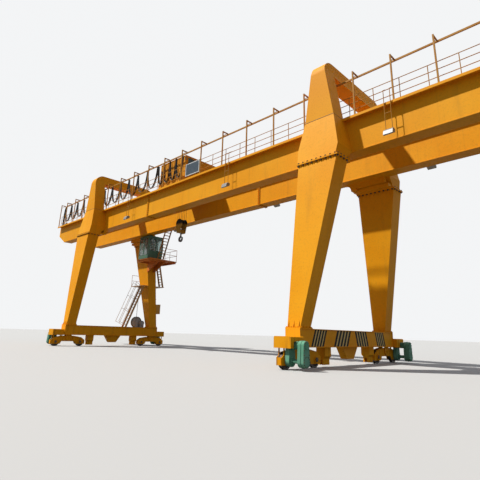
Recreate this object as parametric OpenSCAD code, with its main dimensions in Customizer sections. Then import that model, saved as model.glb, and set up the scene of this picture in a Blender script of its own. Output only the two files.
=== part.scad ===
// Double girder gantry crane on rail bogies, with a cantilever at each end.
// X runs along the girders, Y is the travel direction, Z is up, millimetres.
// The origin is under the crane's centre, at the level of the lowest point of the wheels.
// "near" is +X, "far" is -X, "front" is -Y and "back" is +Y.

/* [Crane] */
// Distance between the two rails the crane runs on
rail_gauge = 21000; // [18000:500:24000]
// Overall length of each girder
girder_len = 38900; // [34000:100:39500]
// Height of the girders' top flange
girder_top = 10735; // [9800:5:11600]
// Distance from the crane's centre to a girder's centre
girder_offset = 1522; // [1300:1:1800]

/* [Girder] */
// Depth of a girder from the top of its flange to its bottom
girder_depth = 1618; // [1300:1:1900]
// Width of the box between the outsides of the webs
web_box_w = 692; // [500:1:800]
// How far the top flange reaches past each web
flange_reach = 294; // [150:1:350]
// Thickness of the top flange
flange_t = 25; // [15:1:40]
// Depth of the edge channel along the outside of the top flange
edge_channel_h = 120; // [60:5:160]
// How far up the end the cut-off corner starts, measured from the bottom
end_cut_h = 700; // [300:10:900]
// Length of the cut-off corner along the bottom
end_cut_len = 1300; // [600:10:2000]
// Place of the bolted splice, from the middle of the girder
splice_x = 4000; // [2000:50:6000]

/* [Portal frame] */
// Height of the bolted joint between a leg and its head block
joint_z = 8600; // [8000:10:8800]
// Top of the sill beam
sill_top = 1483; // [1300:1:1700]
// Depth of the sill beam
sill_depth = 703; // [500:1:800]
// Width of the sill beam's box
sill_w = 620; // [500:10:760]
// Half the length of the sill beam
sill_half = 3985; // [3900:5:4400]
// Width of a leg at its foot, along the girders
foot_w = 620; // [500:10:700]
// Width of a leg at its top, along the girders
leg_top_w = 1970; // [1500:10:2200]
// Depth of a leg at its foot, in the travel direction
foot_d = 688; // [500:1:760]
// Depth of a leg at its top, in the travel direction
leg_top_d = 872; // [600:1:1000]
// Height of the saddle yoke above the girder flange
yoke_h = 3095; // [2700:5:3400]
// Width of the yoke along the girders at its top
yoke_w = 710; // [500:10:900]
// Width of the yoke along the girders at its foot
yoke_foot_w = 1510; // [1100:10:1700]
// Depth of the yoke's cross beam
yoke_beam_h = 670; // [450:10:800]
// Outer corner radius of the yoke
yoke_corner_r = 720; // [300:10:850]

/* [Running gear] */
// Tread diameter of a crane wheel
wheel_d = 560; // [450:10:600]
// Diameter over a wheel's flanges
wheel_flange_d = 620; // [500:10:660]
// Distance between the two wheels of a bogie
wheel_base = 1830; // [1500:10:2000]
// Diameter of a wheel's axle
axle_d = 100; // [70:1:120]

/* [Trolley] */
// Distance between the trolley's rails
trolley_gauge = 3000; // [2800:10:3300]
// Place of the trolley along the girders
trolley_x = -1880; // [-3000:10:3000]
// Length of the machine house along the girders
house_len = 2900; // [2400:10:3100]
// Width of the machine house
house_w = 2940; // [2600:10:3000]
// Height of the machine house
house_h = 1560; // [1200:10:1700]
// Height of the hook block's sheave pin above the ground
block_z = 8650; // [4000:10:8900]

/* [Operator cab] */
// Length of the cab along the girders
cab_len = 1480; // [1300:10:1700]
// Width of the cab
cab_w = 1420; // [1200:10:1600]
// Height of the cab
cab_h = 1940; // [1800:10:1960]
// Thickness of the cab's walls
cab_wall = 50; // [40:5:80]
// Height of the cab platform's walking surface
platform_z = 7060; // [6700:10:7100]

/* [Hand rails and cable track] */
// Height of a hand rail
rail_h = 1060; // [900:10:1200]
// Distance between hand rail posts
rail_pitch = 1155; // [900:5:1500]
// Height of the posts that carry the cable track
track_h = 2220; // [1800:10:2400]
// Distance between the posts that carry the cable track
track_pitch = 1985; // [1600:5:2400]
// Number of loops in the trolley's cable
cable_loops = 15; // [8:1:18]

/* [Hidden] */
paint = "goldenrod";
shade = "darkgoldenrod";
steel = "dimgray";
seat = 0.3;
girder_bottom = girder_top - girder_depth;
web_in = girder_offset - web_box_w / 2;
web_out = girder_offset + web_box_w / 2;
flange_out = web_out + flange_reach;
flange_in = web_in - flange_reach;
bottom_lip = 30;
sill_x = rail_gauge / 2;
sill_bottom = sill_top - sill_depth;
plate_t = 30;
// The inner side of a leg stands nearly upright, its outer side leans.
foot_in = sill_x - foot_w / 2;
foot_out = sill_x + foot_w / 2;
leg_in = foot_in + 90;
leg_out = leg_in + leg_top_w;
leg_top_y = web_out + 415;
bogie_y = sill_half - 420;
foot_y = bogie_y - foot_d / 2;
yoke_x = leg_in + 970;
yoke_in = web_out + 142;
yoke_out = yoke_in + 850;
yoke_top = girder_top + yoke_h;
foot_base = sill_top + plate_t;
leg_top = joint_z - plate_t;
wheel_r = wheel_d / 2;
flange_r = wheel_flange_d / 2;
wheel_z = flange_r;
wheel_w = 160;
lug_gap = 5;
bogie_in = wheel_w / 2 + 25;
bogie_plate = 25;
pin_d = 120;
pin_z = sill_bottom - 230;
rail_section_h = 107;
rail_top = girder_top + rail_section_h;
trolley_wheel_d = 350;
trolley_wheel_z = rail_top + trolley_wheel_d / 2 + seat;
trolley_base = 2200;
frame_bottom = rail_top + 210;
frame_top = frame_bottom + 300;
deck_top = frame_top + 30;
stop_x = girder_len / 2 - 300;
hoist_x = trolley_x - 490;
sheave_d = 600;
sheave_pitch = 150;
rope_d = 20;
crown_z = frame_top - sheave_d / 2 - 20;
groove_r = sheave_d / 2 - 22;
rope_off = groove_r + rope_d / 2 + seat;
leg_slope_in = (foot_y - leg_top_y) / (leg_top - foot_base);
leg_slope_out = (foot_y + foot_d - leg_top_y - leg_top_d) / (leg_top - foot_base);
function leg_front(z) = leg_top_y + (leg_top - z) * leg_slope_in;
function leg_back(z) = leg_top_y + leg_top_d + (leg_top - z) * leg_slope_out;
function leg_outer(z) = foot_out + (leg_out - foot_out) * (z - foot_base) / (leg_top - foot_base);
landing_z = 5000;
cab_x = -leg_in + 150;
cab_y = web_in + 300;
tube_d = 34;
guard_y = flange_out - 230;
track_y = flange_out - 40;
track_top = girder_top + track_h;
cable_x0 = -girder_len / 2 + 250;
cable_x1 = trolley_x - house_len / 2 - 60;
reel_y = 2400;
reel_z = 1900;
reel_r = 460;

// Puts a shape that is modelled at the near back corner at any corner.
module corner(sx, sy) {
    mirror([sx < 0 ? 1 : 0, 0, 0]) mirror([0, sy < 0 ? 1 : 0, 0]) children();
}

// A profile drawn in X and Z, carried from y0 to y1.
module along_y(y0, y1) {
    translate([0, y1, 0]) rotate([90, 0, 0]) linear_extrude(y1 - y0) children();
}

// A profile drawn in Y and Z, carried from x0 to x1.
module along_x(x0, x1) {
    translate([x0, 0, 0]) rotate([90, 0, 90]) linear_extrude(x1 - x0) children();
}

module block(a, b) {
    translate(a) cube(b - a);
}

module tube_z(x, y, z0, z1, d = tube_d) {
    translate([x, y, z0]) cylinder(h = z1 - z0, d = d, $fn = 16);
}

module tube_x(x0, x1, y, z, d = tube_d) {
    translate([x0, y, z]) rotate([0, 90, 0]) cylinder(h = x1 - x0, d = d, $fn = 16);
}

// A straight round bar between two points.
module bar(a, b, d = tube_d) {
    v = b - a;
    n = norm(v);
    translate(a) rotate([0, acos(v[2] / n), atan2(v[1], v[0])]) cylinder(h = n, d = d, $fn = 16);
}

module girder_profile() {
    half = girder_len / 2;
    polygon([
        [-half, girder_top - flange_t], [half, girder_top - flange_t],
        [half, girder_bottom + end_cut_h], [half - end_cut_len, girder_bottom],
        [-half + end_cut_len, girder_bottom], [-half, girder_bottom + end_cut_h]
    ]);
}

module girder(at) {
    half = girder_len / 2;
    color(paint) {
        along_y(web_in, web_out) girder_profile();
        block([-half, flange_in, girder_top - flange_t], [half, flange_out, girder_top]);
        block([-half, flange_out - 50, girder_top - edge_channel_h], [half, flange_out, girder_top]);
        block([-half, flange_in, girder_top - edge_channel_h / 2], [half, flange_in + 40, girder_top]);
        block([-half + end_cut_len, web_in - bottom_lip, girder_bottom - 22],
            [half - end_cut_len, web_out + bottom_lip, girder_bottom]);
        for (dx = [-70, 30])
            block([at + dx, web_in - 55, girder_bottom - 75],
                [at + dx + 40, web_out + 55, girder_top - flange_t]);
    }
}

module rail_profile() {
    polygon([
        [-46, 0], [46, 0], [46, 10], [8, 24], [8, 78], [25, 86], [25, 107],
        [-25, 107], [-25, 86], [-8, 78], [-8, 24], [-46, 10]
    ]);
}

module trolley_rails() {
    color(steel) for (s = [-1, 1]) {
        along_x(-stop_x, stop_x)
            translate([s * trolley_gauge / 2, girder_top]) rail_profile();
        for (e = [-1, 1]) translate([e * (stop_x + 20), s * trolley_gauge / 2, 0]) {
            translate([e > 0 ? 0 : -220, -120, girder_top]) cube([220, 240, 420]);
            translate([0, 0, frame_bottom + 150]) rotate([0, -90 * e, 0]) cylinder(h = 120, d = 140, $fn = 24);
        }
    }
}

// Head block between a girder's web and the leg below it.
module knee(gusset) {
    low = joint_z;
    difference() {
        intersection() {
            along_y(web_out, leg_top_y + leg_top_d) union() {
                polygon([
                    [leg_in - 60, low + plate_t], [leg_in - 90, low + 700],
                    [yoke_x - yoke_foot_w / 2, girder_top], [yoke_x + yoke_foot_w / 2, girder_top],
                    [leg_out + 30, low + 550], [leg_out - 70, low + plate_t]
                ]);
            }
            along_x(leg_in - 200, leg_out + 200) polygon([
                [web_out, girder_top], [yoke_out, girder_top],
                [leg_top_y + leg_top_d - 10, low + plate_t], [leg_top_y, low + plate_t],
                [leg_top_y, low + 130], [web_out, girder_bottom - 22]
            ]);
        }
        block([0, web_out - 10, girder_top - flange_t], [leg_out + 500, flange_out, girder_top + 10]);
        block([0, flange_out - 50, girder_top - edge_channel_h], [leg_out + 500, flange_out, girder_top + 10]);
        block([0, web_out - 10, girder_bottom - 22], [leg_out + 500, web_out + bottom_lip, girder_bottom]);
    }
    block([leg_in - 70, leg_top_y - 70, low], [leg_out + 70, leg_top_y + leg_top_d + 70, low + plate_t]);
    // Round gusset under the girder, left out where the cab hangs beside the leg.
    if (gusset) difference() {
        block([leg_in - 500, web_out - 170, girder_bottom - 422],
            [leg_in + 200, web_out + 60, girder_bottom - 22]);
        translate([leg_in - 500, web_out - 180, girder_bottom - 422]) rotate([-90, 0, 0])
            cylinder(h = 300, r = 400, $fn = 48);
    }
    block([leg_in + 200, web_out - 170, girder_bottom - 300],
        [leg_out - 200, web_out + 60, girder_bottom - 22]);
    block([leg_in - 60, web_out + 10, low + plate_t], [leg_out - 90, leg_top_y + 20, low + plate_t + 160]);
}

module knees(sx) {
    color(paint) for (sy = [-1, 1]) corner(sx, sy) knee(sx > 0 || sy < 0);
}

module yoke(sx) {
    hw = yoke_w / 2;
    fw = yoke_foot_w / 2;
    straight = yoke_top - yoke_beam_h;
    color(paint) corner(sx, 1) intersection() {
        along_y(-yoke_out - 10, yoke_out + 10) polygon([
            [yoke_x - fw, girder_top], [yoke_x + fw, girder_top],
            [yoke_x + hw, straight + 200], [yoke_x + hw, yoke_top],
            [yoke_x - hw, yoke_top], [yoke_x - hw, straight + 200]
        ]);
        along_x(yoke_x - fw - 10, yoke_x + fw + 10) difference() {
            union() {
                translate([-yoke_out, girder_top]) square([2 * yoke_out, yoke_h - yoke_corner_r]);
                translate([-yoke_out + yoke_corner_r, girder_top])
                    square([2 * (yoke_out - yoke_corner_r), yoke_h]);
                for (s = [-1, 1]) translate([s * (yoke_out - yoke_corner_r), yoke_top - yoke_corner_r])
                    circle(r = yoke_corner_r, $fn = 64);
            }
            translate([-yoke_in, girder_top - 10]) square([2 * yoke_in, yoke_h - yoke_beam_h + 10]);
        }
    }
}

module rib(points, x0, x1) {
    along_x(x0, x1) polygon(points);
}

module leg() {
    gusset_h = 260;
    gusset_d = 60;
    intersection() {
        along_y(leg_top_y - 10, foot_y + foot_d + 10) polygon([
            [leg_in, leg_top], [leg_out, leg_top], [foot_out, foot_base], [foot_in, foot_base]
        ]);
        along_x(foot_in - 10, leg_out + 10) polygon([
            [leg_top_y, leg_top], [leg_top_y + leg_top_d, leg_top],
            [foot_y + foot_d, foot_base], [foot_y, foot_base]
        ]);
    }
    block([leg_in - 70, leg_top_y - 70, leg_top], [leg_out + 70, leg_top_y + leg_top_d + 70, joint_z]);
    block([foot_in - 60, foot_y - 70, sill_top], [foot_out + 60, foot_y + foot_d + 65, foot_base]);
    for (t = [0.08, 0.5, 0.92]) {
        x = foot_in + t * (foot_w - 20);
        rib([[foot_y - gusset_d, foot_base], [foot_y + 60, foot_base],
            [foot_y + 20, foot_base + gusset_h], [foot_y - 30, foot_base + gusset_h]], x, x + 20);
        rib([[foot_y + foot_d - 60, foot_base], [foot_y + foot_d + gusset_d, foot_base],
            [foot_y + foot_d - 20, foot_base + gusset_h], [foot_y + foot_d - 60, foot_base + gusset_h]], x, x + 20);
    }
}

module leg_at(sx, sy) {
    color(paint) corner(sx, sy) leg();
}

module sill(sx) {
    lug_x = bogie_in + bogie_plate + lug_gap;
    color(paint) corner(sx, 1) {
        block([sill_x - sill_w / 2, -sill_half, sill_bottom], [sill_x + sill_w / 2, sill_half, sill_top]);
        for (z = [sill_bottom, sill_top - 25])
            block([sill_x - sill_w / 2 - 45, -sill_half, z], [sill_x + sill_w / 2 + 45, sill_half, z + 25]);
        for (s = [-1, 1]) {
            block([sill_x - sill_w / 2 - 45, s > 0 ? sill_half - 25 : -sill_half, sill_bottom],
                [sill_x + sill_w / 2 + 45, s > 0 ? sill_half : -sill_half + 25, sill_top]);
            for (d = [-1, 1]) difference() {
                translate([sill_x + (d > 0 ? lug_x : -lug_x - 50), s * bogie_y, 0]) rotate([90, 0, 90])
                    linear_extrude(50) union() {
                        translate([-200, pin_z]) square([400, sill_bottom - pin_z]);
                        translate([0, pin_z]) circle(r = 200, $fn = 48);
                    }
                translate([sill_x - 400, s * bogie_y, pin_z]) rotate([0, 90, 0])
                    cylinder(h = 800, d = pin_d + 0.6, $fn = 48);
            }
        }
        // Anchor bracket under the middle of the beam.
        along_x(sill_x - 160, sill_x + 160)
            polygon([[-650, sill_bottom], [650, sill_bottom], [290, 275], [-290, 275]]);
    }
}

module rail_clamps() {
    color(steel) for (sx = [-1, 1]) for (sy = [-1, 1]) corner(sx, sy) {
        translate([sill_x, 1880, 0]) difference() {
            along_y(-230, 230) polygon([
                [-210, sill_bottom], [210, sill_bottom], [210, 420], [120, 330], [120, 90],
                [-120, 90], [-120, 330], [-210, 420]
            ]);
            translate([-55, -300, 50]) cube([110, 600, 230]);
        }
    }
}

// Two-wheel bogie, modelled about its own pin.
module bogie_plates() {
    for (d = [-1, 1]) along_x(d > 0 ? bogie_in : -bogie_in - bogie_plate,
        d > 0 ? bogie_in + bogie_plate : -bogie_in) polygon([
            [-wheel_base / 2 - 330, 150], [-wheel_base / 2 - 330, 430], [-wheel_base / 2 - 60, 620],
            [-420, 720], [420, 720], [wheel_base / 2 + 60, 620], [wheel_base / 2 + 330, 430],
            [wheel_base / 2 + 330, 150], [wheel_base / 2 - 330, 150], [wheel_base / 2 - 430, 330],
            [-wheel_base / 2 + 430, 330], [-wheel_base / 2 + 330, 150]
        ]);
}

module bogie() {
    cover_in = sill_half - bogie_y + 10;
    cover_out = cover_in + 800;
    bogie_plates();
    block([-bogie_in - 1, -wheel_base / 2 + 450, 340], [bogie_in + 1, wheel_base / 2 - 450, 715]);
    for (s = [-1, 1]) {
        block([-bogie_in - 1, s > 0 ? wheel_base / 2 + 328 : -wheel_base / 2 - 352, 160],
            [bogie_in + 1, s > 0 ? wheel_base / 2 + 352 : -wheel_base / 2 - 328, 430]);
        translate([-bogie_in - 70, s * wheel_base / 2, wheel_z]) rotate([0, 90, 0])
            cylinder(h = 2 * bogie_in + 140, d = axle_d, $fn = 48);
        for (d = [-1, 1])
            translate([d > 0 ? bogie_in : -bogie_in - 60, s * wheel_base / 2, wheel_z]) rotate([0, 90, 0])
                cylinder(h = 60, d = 260, $fn = 48);
    }
    translate([-bogie_in - 110, 0, pin_z]) rotate([0, 90, 0])
        cylinder(h = 2 * bogie_in + 220, d = pin_d, $fn = 48);
    // Cover box over the outer wheel.
    difference() {
        along_y(cover_in, cover_out) union() {
            translate([-270, 760]) square([800, 360]);
            translate([-210, 760]) square([680, 420]);
            for (x = [-210, 470]) translate([x, 1120]) circle(r = 60, $fn = 32);
        }
        block([-240, cover_in + 30, 700], [500, cover_out - 30, 1140]);
        block([490, wheel_base / 2 - 135, 700], [540, wheel_base / 2 + 135, 990]);
    }
    for (y = [cover_in + 60, cover_out - 160]) for (x = [-bogie_in - 25, bogie_in])
        block([x, y, y > 700 ? 380 : 540], [x + 25, y + 60, 1140]);
}

module bogie_at(sx, sy) {
    color(paint) corner(sx, sy) translate([sill_x, bogie_y, 0]) bogie();
}

module drive() {
    color("seagreen") translate([bogie_in + 60, wheel_base / 2, 0]) {
        difference() {
            along_x(0, 190) union() {
                translate([0, wheel_z]) circle(r = 200, $fn = 48);
                polygon([[-200, wheel_z], [200, wheel_z], [150, 850], [-150, 850]]);
                translate([0, 850]) circle(r = 150, $fn = 48);
            }
            translate([-10, 0, wheel_z]) rotate([0, 90, 0]) cylinder(h = 40, d = axle_d + 10, $fn = 48);
        }
        translate([190, 0, 850]) rotate([0, 90, 0]) cylinder(h = 60, d = 250, $fn = 48);
        translate([250, 0, 850]) rotate([0, 90, 0]) cylinder(h = 300, d = 210, $fn = 48);
        translate([550, 0, 850]) rotate([0, 90, 0]) cylinder(h = 70, d = 190, $fn = 48);
    }
}

module travel_drives() {
    for (sx = [-1, 1]) for (sy = [-1, 1]) corner(sx, sy)
        translate([sill_x, bogie_y, 0]) drive();
}

module crane_wheel(sx, sy, place) {
    color(steel) corner(sx, sy)
        translate([sill_x, bogie_y + place * wheel_base / 2, wheel_z]) rotate([0, 90, 0])
            translate([0, 0, -wheel_w / 2]) rotate_extrude($fn = 72) polygon([
                [axle_d / 2 + 0.05, 0], [120, 0], [120, 35], [wheel_r - 60, 45], [wheel_r - 45, 0],
                [flange_r, 0], [flange_r, 18], [wheel_r, 28], [wheel_r, wheel_w - 28],
                [flange_r, wheel_w - 18], [flange_r, wheel_w], [wheel_r - 45, wheel_w],
                [wheel_r - 60, wheel_w - 45], [120, wheel_w - 35], [120, wheel_w],
                [axle_d / 2 + 0.05, wheel_w]
            ]);
}

// Hand rail along a girder's outer edge: toe plate, posts and three rails.
module handrail(sy) {
    half = girder_len / 2 - 120;
    bays = floor(2 * half / rail_pitch);
    pitch = 2 * half / bays;
    color(shade) corner(1, sy) {
        block([-half - 20, guard_y - 4, girder_top], [half + 20, guard_y + 4, girder_top + 100]);
        for (i = [0 : bays])
            tube_z(-half + i * pitch, guard_y, girder_top, girder_top + rail_h);
        for (t = [0.36, 0.68, 1])
            tube_x(-half - 17, half + 17, guard_y, girder_top + t * rail_h);
    }
}

// Places of the tall posts: even bays between the yokes, and five beyond each.
function post_places() = concat(
    [for (i = [-5 : 5]) i * track_pitch],
    [for (s = [-1, 1]) for (i = [0 : 3]) s * (yoke_x + yoke_foot_w / 2 + 640 + i * track_pitch * 0.9)],
    [-girder_len / 2 + 120, girder_len / 2 - 120]
);

module festoon_track() {
    half = girder_len / 2 - 60;
    post = 60;
    color(shade) corner(1, -1) {
        for (x = post_places()) {
            block([x - post / 2, track_y - post / 2, girder_top], [x + post / 2, track_y + post / 2, track_top]);
            block([x - 25, track_y - 420, track_top - 60], [x + 25, track_y, track_top]);
            bar([x, track_y - 340, track_top - 30], [x, track_y, track_top - 330], 30);
        }
        block([-half, track_y - 430, track_top - 140], [half, track_y - 370, track_top - 60]);
    }
}

cable_y = -(track_y - 400);
cable_d = 44;
cable_drop = 1680;
loop_pitch = (cable_x1 - cable_x0) / cable_loops;
// One loop hangs as a narrow U between two hangers.
function loop_point(i, t) = [
    cable_x0 + (i + t - 0.16 * sin(360 * t)) * loop_pitch,
    cable_y,
    track_top - 230 - cable_drop * pow(sin(180 * t), 0.7)
];
cable_path = [
    for (i = [0 : cable_loops - 1]) for (t = [0 : 0.125 : 0.99]) loop_point(i, t),
    [cable_x1, cable_y, track_top - 230]
];
function unit(v) = v / norm(v);
function tangent(p, i) = unit(p[min(i + 1, len(p) - 1)] - p[max(i - 1, 0)]);

// A round tube of eight sides swept along points that lie in one XZ plane.
module swept_tube(p, d) {
    sides = 8;
    points = [
        for (i = [0 : len(p) - 1]) let (t = tangent(p, i), n = [t[2], 0, -t[0]])
            for (k = [0 : sides - 1])
                p[i] + d / 2 * (cos(360 * k / sides) * n + sin(360 * k / sides) * [0, 1, 0])
    ];
    last = (len(p) - 1) * sides;
    polyhedron(points, concat(
        [[for (k = [0 : sides - 1]) k]],
        [for (i = [0 : len(p) - 2]) for (k = [0 : sides - 1]) let (a = i * sides, m = (k + 1) % sides)
            [a + k, a + sides + k, a + sides + m, a + m]],
        [[for (k = [sides - 1 : -1 : 0]) last + k]]
    ));
}

module festoon_cable() {
    color("black") {
        swept_tube(cable_path, cable_d);
        for (i = [0 : cable_loops])
            block([cable_x0 + i * loop_pitch - 45, cable_y - 30, track_top - 215],
                [cable_x0 + i * loop_pitch + 45, cable_y + 30, track_top - 140 - seat]);
    }
}

lamp_x = [-6180, 4530, 14180];
lamp_gap = 280;
lamp_y = flange_out + 60;
lamp_z = girder_bottom + 170;

// Pairs of thin bars hooped over the flange edge, each pair carrying a flood light.
module lamp_hangers() {
    color(shade) for (sy = [-1, 1]) corner(1, sy) for (x = lamp_x) {
        for (dx = [-lamp_gap / 2, lamp_gap / 2]) {
            bar([x + dx, lamp_y, lamp_z + 130], [x + dx, lamp_y, girder_top + 560], 30);
            bar([x + dx, lamp_y, girder_top + 550], [x + dx, guard_y + 60, girder_top + 700], 30);
            block([x + dx - 20, flange_out, girder_top - 90], [x + dx + 20, lamp_y, girder_top - 50]);
        }
        bar([x - lamp_gap / 2, lamp_y, lamp_z + 900], [x + lamp_gap / 2, lamp_y, lamp_z + 900], 30);
        bar([x - lamp_gap / 2 - 15, lamp_y, lamp_z + 145], [x + lamp_gap / 2 + 15, lamp_y, lamp_z + 145], 30);
    }
}

module floodlights() {
    color("lightgray") for (sy = [-1, 1]) corner(1, sy) for (x = lamp_x)
        translate([x - 200, lamp_y, lamp_z + 130 - seat]) along_x(0, 400)
            polygon([[-110, -30], [-30, 0], [60, 0], [150, -90], [190, -260], [150, -280], [-90, -150]]);
}

module capacity_sign() {
    color("darkslategray")
        block([300, -guard_y - 47, girder_top + 235], [1700, -guard_y - 17 - seat, girder_top + 1105]);
}

// A flight of steps in the YZ plane, on two stringers.
module flight_y(x, w, y0, z0, y1, z1, steps) {
    n = steps;
    for (s = [0, 1]) along_x(x - w / 2 + s * (w - 12), x - w / 2 + 12 + s * (w - 12)) polygon([
        [y0 - 70, z0], [y0 + 110, z0], [y1 + 70, z1 - 40], [y1 + 70, z1], [y1 - 90, z1]
    ]);
    for (i = [1 : n - 1]) {
        y = y0 + (y1 - y0) * i / n;
        z = z0 + (z1 - z0) * i / n;
        block([x - w / 2 + 6, y - 80, z - 30], [x + w / 2 - 6, y + 80, z]);
    }
}

// Sloping guard rails of a flight in the YZ plane.
module guard_y_flight(x, w, y0, z0, y1, z1) {
    n = 3;
    for (s = [-1, 1]) {
        xs = x + s * (w / 2 - 6);
        for (i = [0 : n]) {
            y = y0 + (y1 - y0) * (0.04 + 0.92 * i / n);
            z = z0 + (z1 - z0) * (0.04 + 0.92 * i / n);
            bar([xs, y, z - 20], [xs, y - 697, z + 298], 24);
        }
        for (t = [0.5, 1])
            bar([xs, y0 + (y1 - y0) * 0.03 - 700 * t, z0 + (z1 - z0) * 0.03 + 300 * t],
                [xs, y0 + (y1 - y0) * 0.97 - 700 * t, z0 + (z1 - z0) * 0.97 + 300 * t], 32);
    }
}

stair_w = 520;
stair_x = -sill_x;
stair_y0 = 950;
stair_y1 = leg_front(landing_z) - 420;

module stair_lower() {
    color(shade) {
        flight_y(stair_x, stair_w, stair_y0, sill_top, stair_y1, landing_z - 40 - seat, 15);
        guard_y_flight(stair_x, stair_w, stair_y0, sill_top, stair_y1, landing_z);
    }
}

landing_x0 = -leg_outer(landing_z) - 750;
landing_x1 = -leg_in + 20;
landing_y0 = stair_y1 - 30;
landing_y1 = leg_back(landing_z) + 900;

// Landing that wraps round the far back leg, with its guard rail.
module leg_landing() {
    color(shade) {
        difference() {
            block([landing_x0, landing_y0, landing_z - 40], [landing_x1, landing_y1, landing_z]);
            corner(-1, 1) leg();
        }
        for (y = [landing_y0, (landing_y0 + landing_y1) / 2, landing_y1 - 30])
            tube_z(landing_x0 + 20, y + 15, landing_z, landing_z + 1000);
        for (t = [0.5, 1])
            bar([landing_x0 + 20, landing_y0 + 15, landing_z + 983 * t],
                [landing_x0 + 20, landing_y1 - 15, landing_z + 983 * t]);
    }
}

up_w = 560;
up_y = flange_out + 60 + up_w / 2;
up_x0 = -8350;
up_x1 = -6950;
deck_x0 = -leg_in;
deck_x1 = up_x0 + 150;
deck_y0 = cab_y - 60;
deck_y1 = leg_back(platform_z) + 800;
deck_back = leg_back(platform_z) + 330;

// Flight behind the leg, leaning in towards it as it climbs.
module stair_middle() {
    top_y = deck_back + 91;
    color(shade) mirror([0, 1, 0])
        flight_y(stair_x, stair_w, -top_y - 560, landing_z, -top_y, platform_z, 9);
}

// Platform under the cab, fixed to the upright side of the far back leg.
module cab_platform() {
    color("chocolate") {
        difference() {
            union() {
                block([deck_x0 + 50, deck_y0, platform_z - 60], [deck_x1, deck_y1, platform_z]);
                block([-sill_x - 480, deck_back - 550, platform_z - 60], [deck_x0 + 60, deck_back, platform_z]);
                block([deck_x0 - 60, leg_front(platform_z), platform_z - 60], [deck_x0 + 60, deck_back, platform_z]);
                for (y = [deck_y0 + 60, deck_y1 - 160])
                    block([deck_x0 + 60, y, platform_z - 200], [deck_x1 - 40, y + 100, platform_z - 60]);
                block([deck_x0 + 60, deck_y0 + 60, platform_z - 200], [deck_x0 + 140, deck_y1 - 60, platform_z - 60]);
                for (y = [leg_front(platform_z) + 60, leg_back(platform_z) - 160])
                    along_y(y, y + 100) polygon([
                        [deck_x1 - 300, platform_z - 60], [deck_x0 + 60, platform_z - 900],
                        [deck_x0 - 30, platform_z - 900], [deck_x0 - 30, platform_z - 60]
                    ]);
            }
            corner(-1, 1) leg();
        }
        for (x = [deck_x0 + 40, (deck_x0 + deck_x1) / 2, deck_x1 - 30])
            tube_z(x, deck_y1 - 30, platform_z, platform_z + 1000);
        tube_z(deck_x1 - 30, up_y + up_w / 2 + 100, platform_z, platform_z + 1000);
        for (t = [0.5, 1]) {
            tube_x(deck_x0 + 23, deck_x1 - 13, deck_y1 - 30, platform_z + 983 * t);
            bar([deck_x1 - 30, up_y + up_w / 2 + 83, platform_z + 983 * t],
                [deck_x1 - 30, deck_y1 - 20, platform_z + 983 * t]);
        }
    }
}

// Steep stair from the cab platform to the top of the back girder, along the girder.
module stair_upper() {
    z0 = platform_z;
    z1 = girder_top;
    n = 15;
    run = up_x1 - up_x0;
    color(shade) {
        for (s = [-1, 1]) along_y(up_y + s * up_w / 2 - 6, up_y + s * up_w / 2 + 6) polygon([
            [up_x0 - 130, z0], [up_x0 + 60, z0], [up_x1 + 80, z1], [up_x1 - 110, z1]
        ]);
        for (i = [1 : n - 1])
            block([up_x0 + run * i / n - 75, up_y - up_w / 2, z0 + (z1 - z0) * i / n - 30],
                [up_x0 + run * i / n + 75, up_y + up_w / 2, z0 + (z1 - z0) * i / n]);
        block([up_x1 - 110, flange_out, z1 - 60], [up_x1 + 550, flange_out + 60 + up_w + 30, z1]);
        for (x = [up_x1 + 90, up_x1 + 530]) tube_z(x, flange_out + up_w + 60, z1 - 20, z1 + 1000);
        for (t = [0.5, 1]) tube_x(up_x1 + 73, up_x1 + 547, flange_out + up_w + 60, z1 + 983 * t);
    }
}

cab_z = platform_z + 6;
sill_h = 330;
head_h = 200;
lean = 150;

module cab_outline() {
    polygon([
        [0, 0], [cab_len - lean, 0], [cab_len, 620], [cab_len, cab_h - 60], [cab_len - 60, cab_h], [0, cab_h]
    ]);
}

// Window openings of the cab, cut right through its walls.
module cab_window_cuts() {
    low = sill_h;
    high = cab_h - head_h;
    pane = (cab_len - lean - 3 * 90) / 2;
    for (i = [0, 1])
        block([90 + i * (pane + 90), -10, low], [90 + i * (pane + 90) + pane, cab_w + 10, high]);
    wide = (cab_w - 3 * 90) / 2;
    for (i = [0, 1])
        block([cab_len - cab_wall - 40, 90 + i * (wide + 90), 700],
            [cab_len + 10, 90 + i * (wide + 90) + wide, high]);
}

module cab_shell() {
    color("darkgreen") translate([cab_x, cab_y, cab_z]) {
        difference() {
            along_y(0, cab_w) cab_outline();
            along_y(cab_wall, cab_w - cab_wall) translate([cab_wall, cab_wall])
                polygon([
                    [0, 0], [cab_len - lean - 2 * cab_wall, 0], [cab_len - 2 * cab_wall, 590],
                    [cab_len - 2 * cab_wall, cab_h - 2 * cab_wall], [0, cab_h - 2 * cab_wall]
                ]);
            cab_window_cuts();
        }
        for (y = [60, cab_w - 120]) block([20, y, -6], [cab_len - lean, y + 60, 0]);
    }
}

module cab_glass() {
    pane_t = 8;
    color("lightblue") translate([cab_x, cab_y, cab_z]) {
        low = sill_h + seat;
        high = cab_h - head_h - seat;
        pane = (cab_len - lean - 3 * 90) / 2;
        wide = (cab_w - 3 * 90) / 2;
        for (y = [20, cab_w - 20 - pane_t]) for (i = [0, 1])
            block([90 + i * (pane + 90) + seat, y, low], [90 + i * (pane + 90) + pane - seat, y + pane_t, high]);
        for (i = [0, 1])
            block([cab_len - 28, 90 + i * (wide + 90) + seat, 700 + seat],
                [cab_len - 20, 90 + i * (wide + 90) + wide - seat, high]);
    }
}

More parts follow.
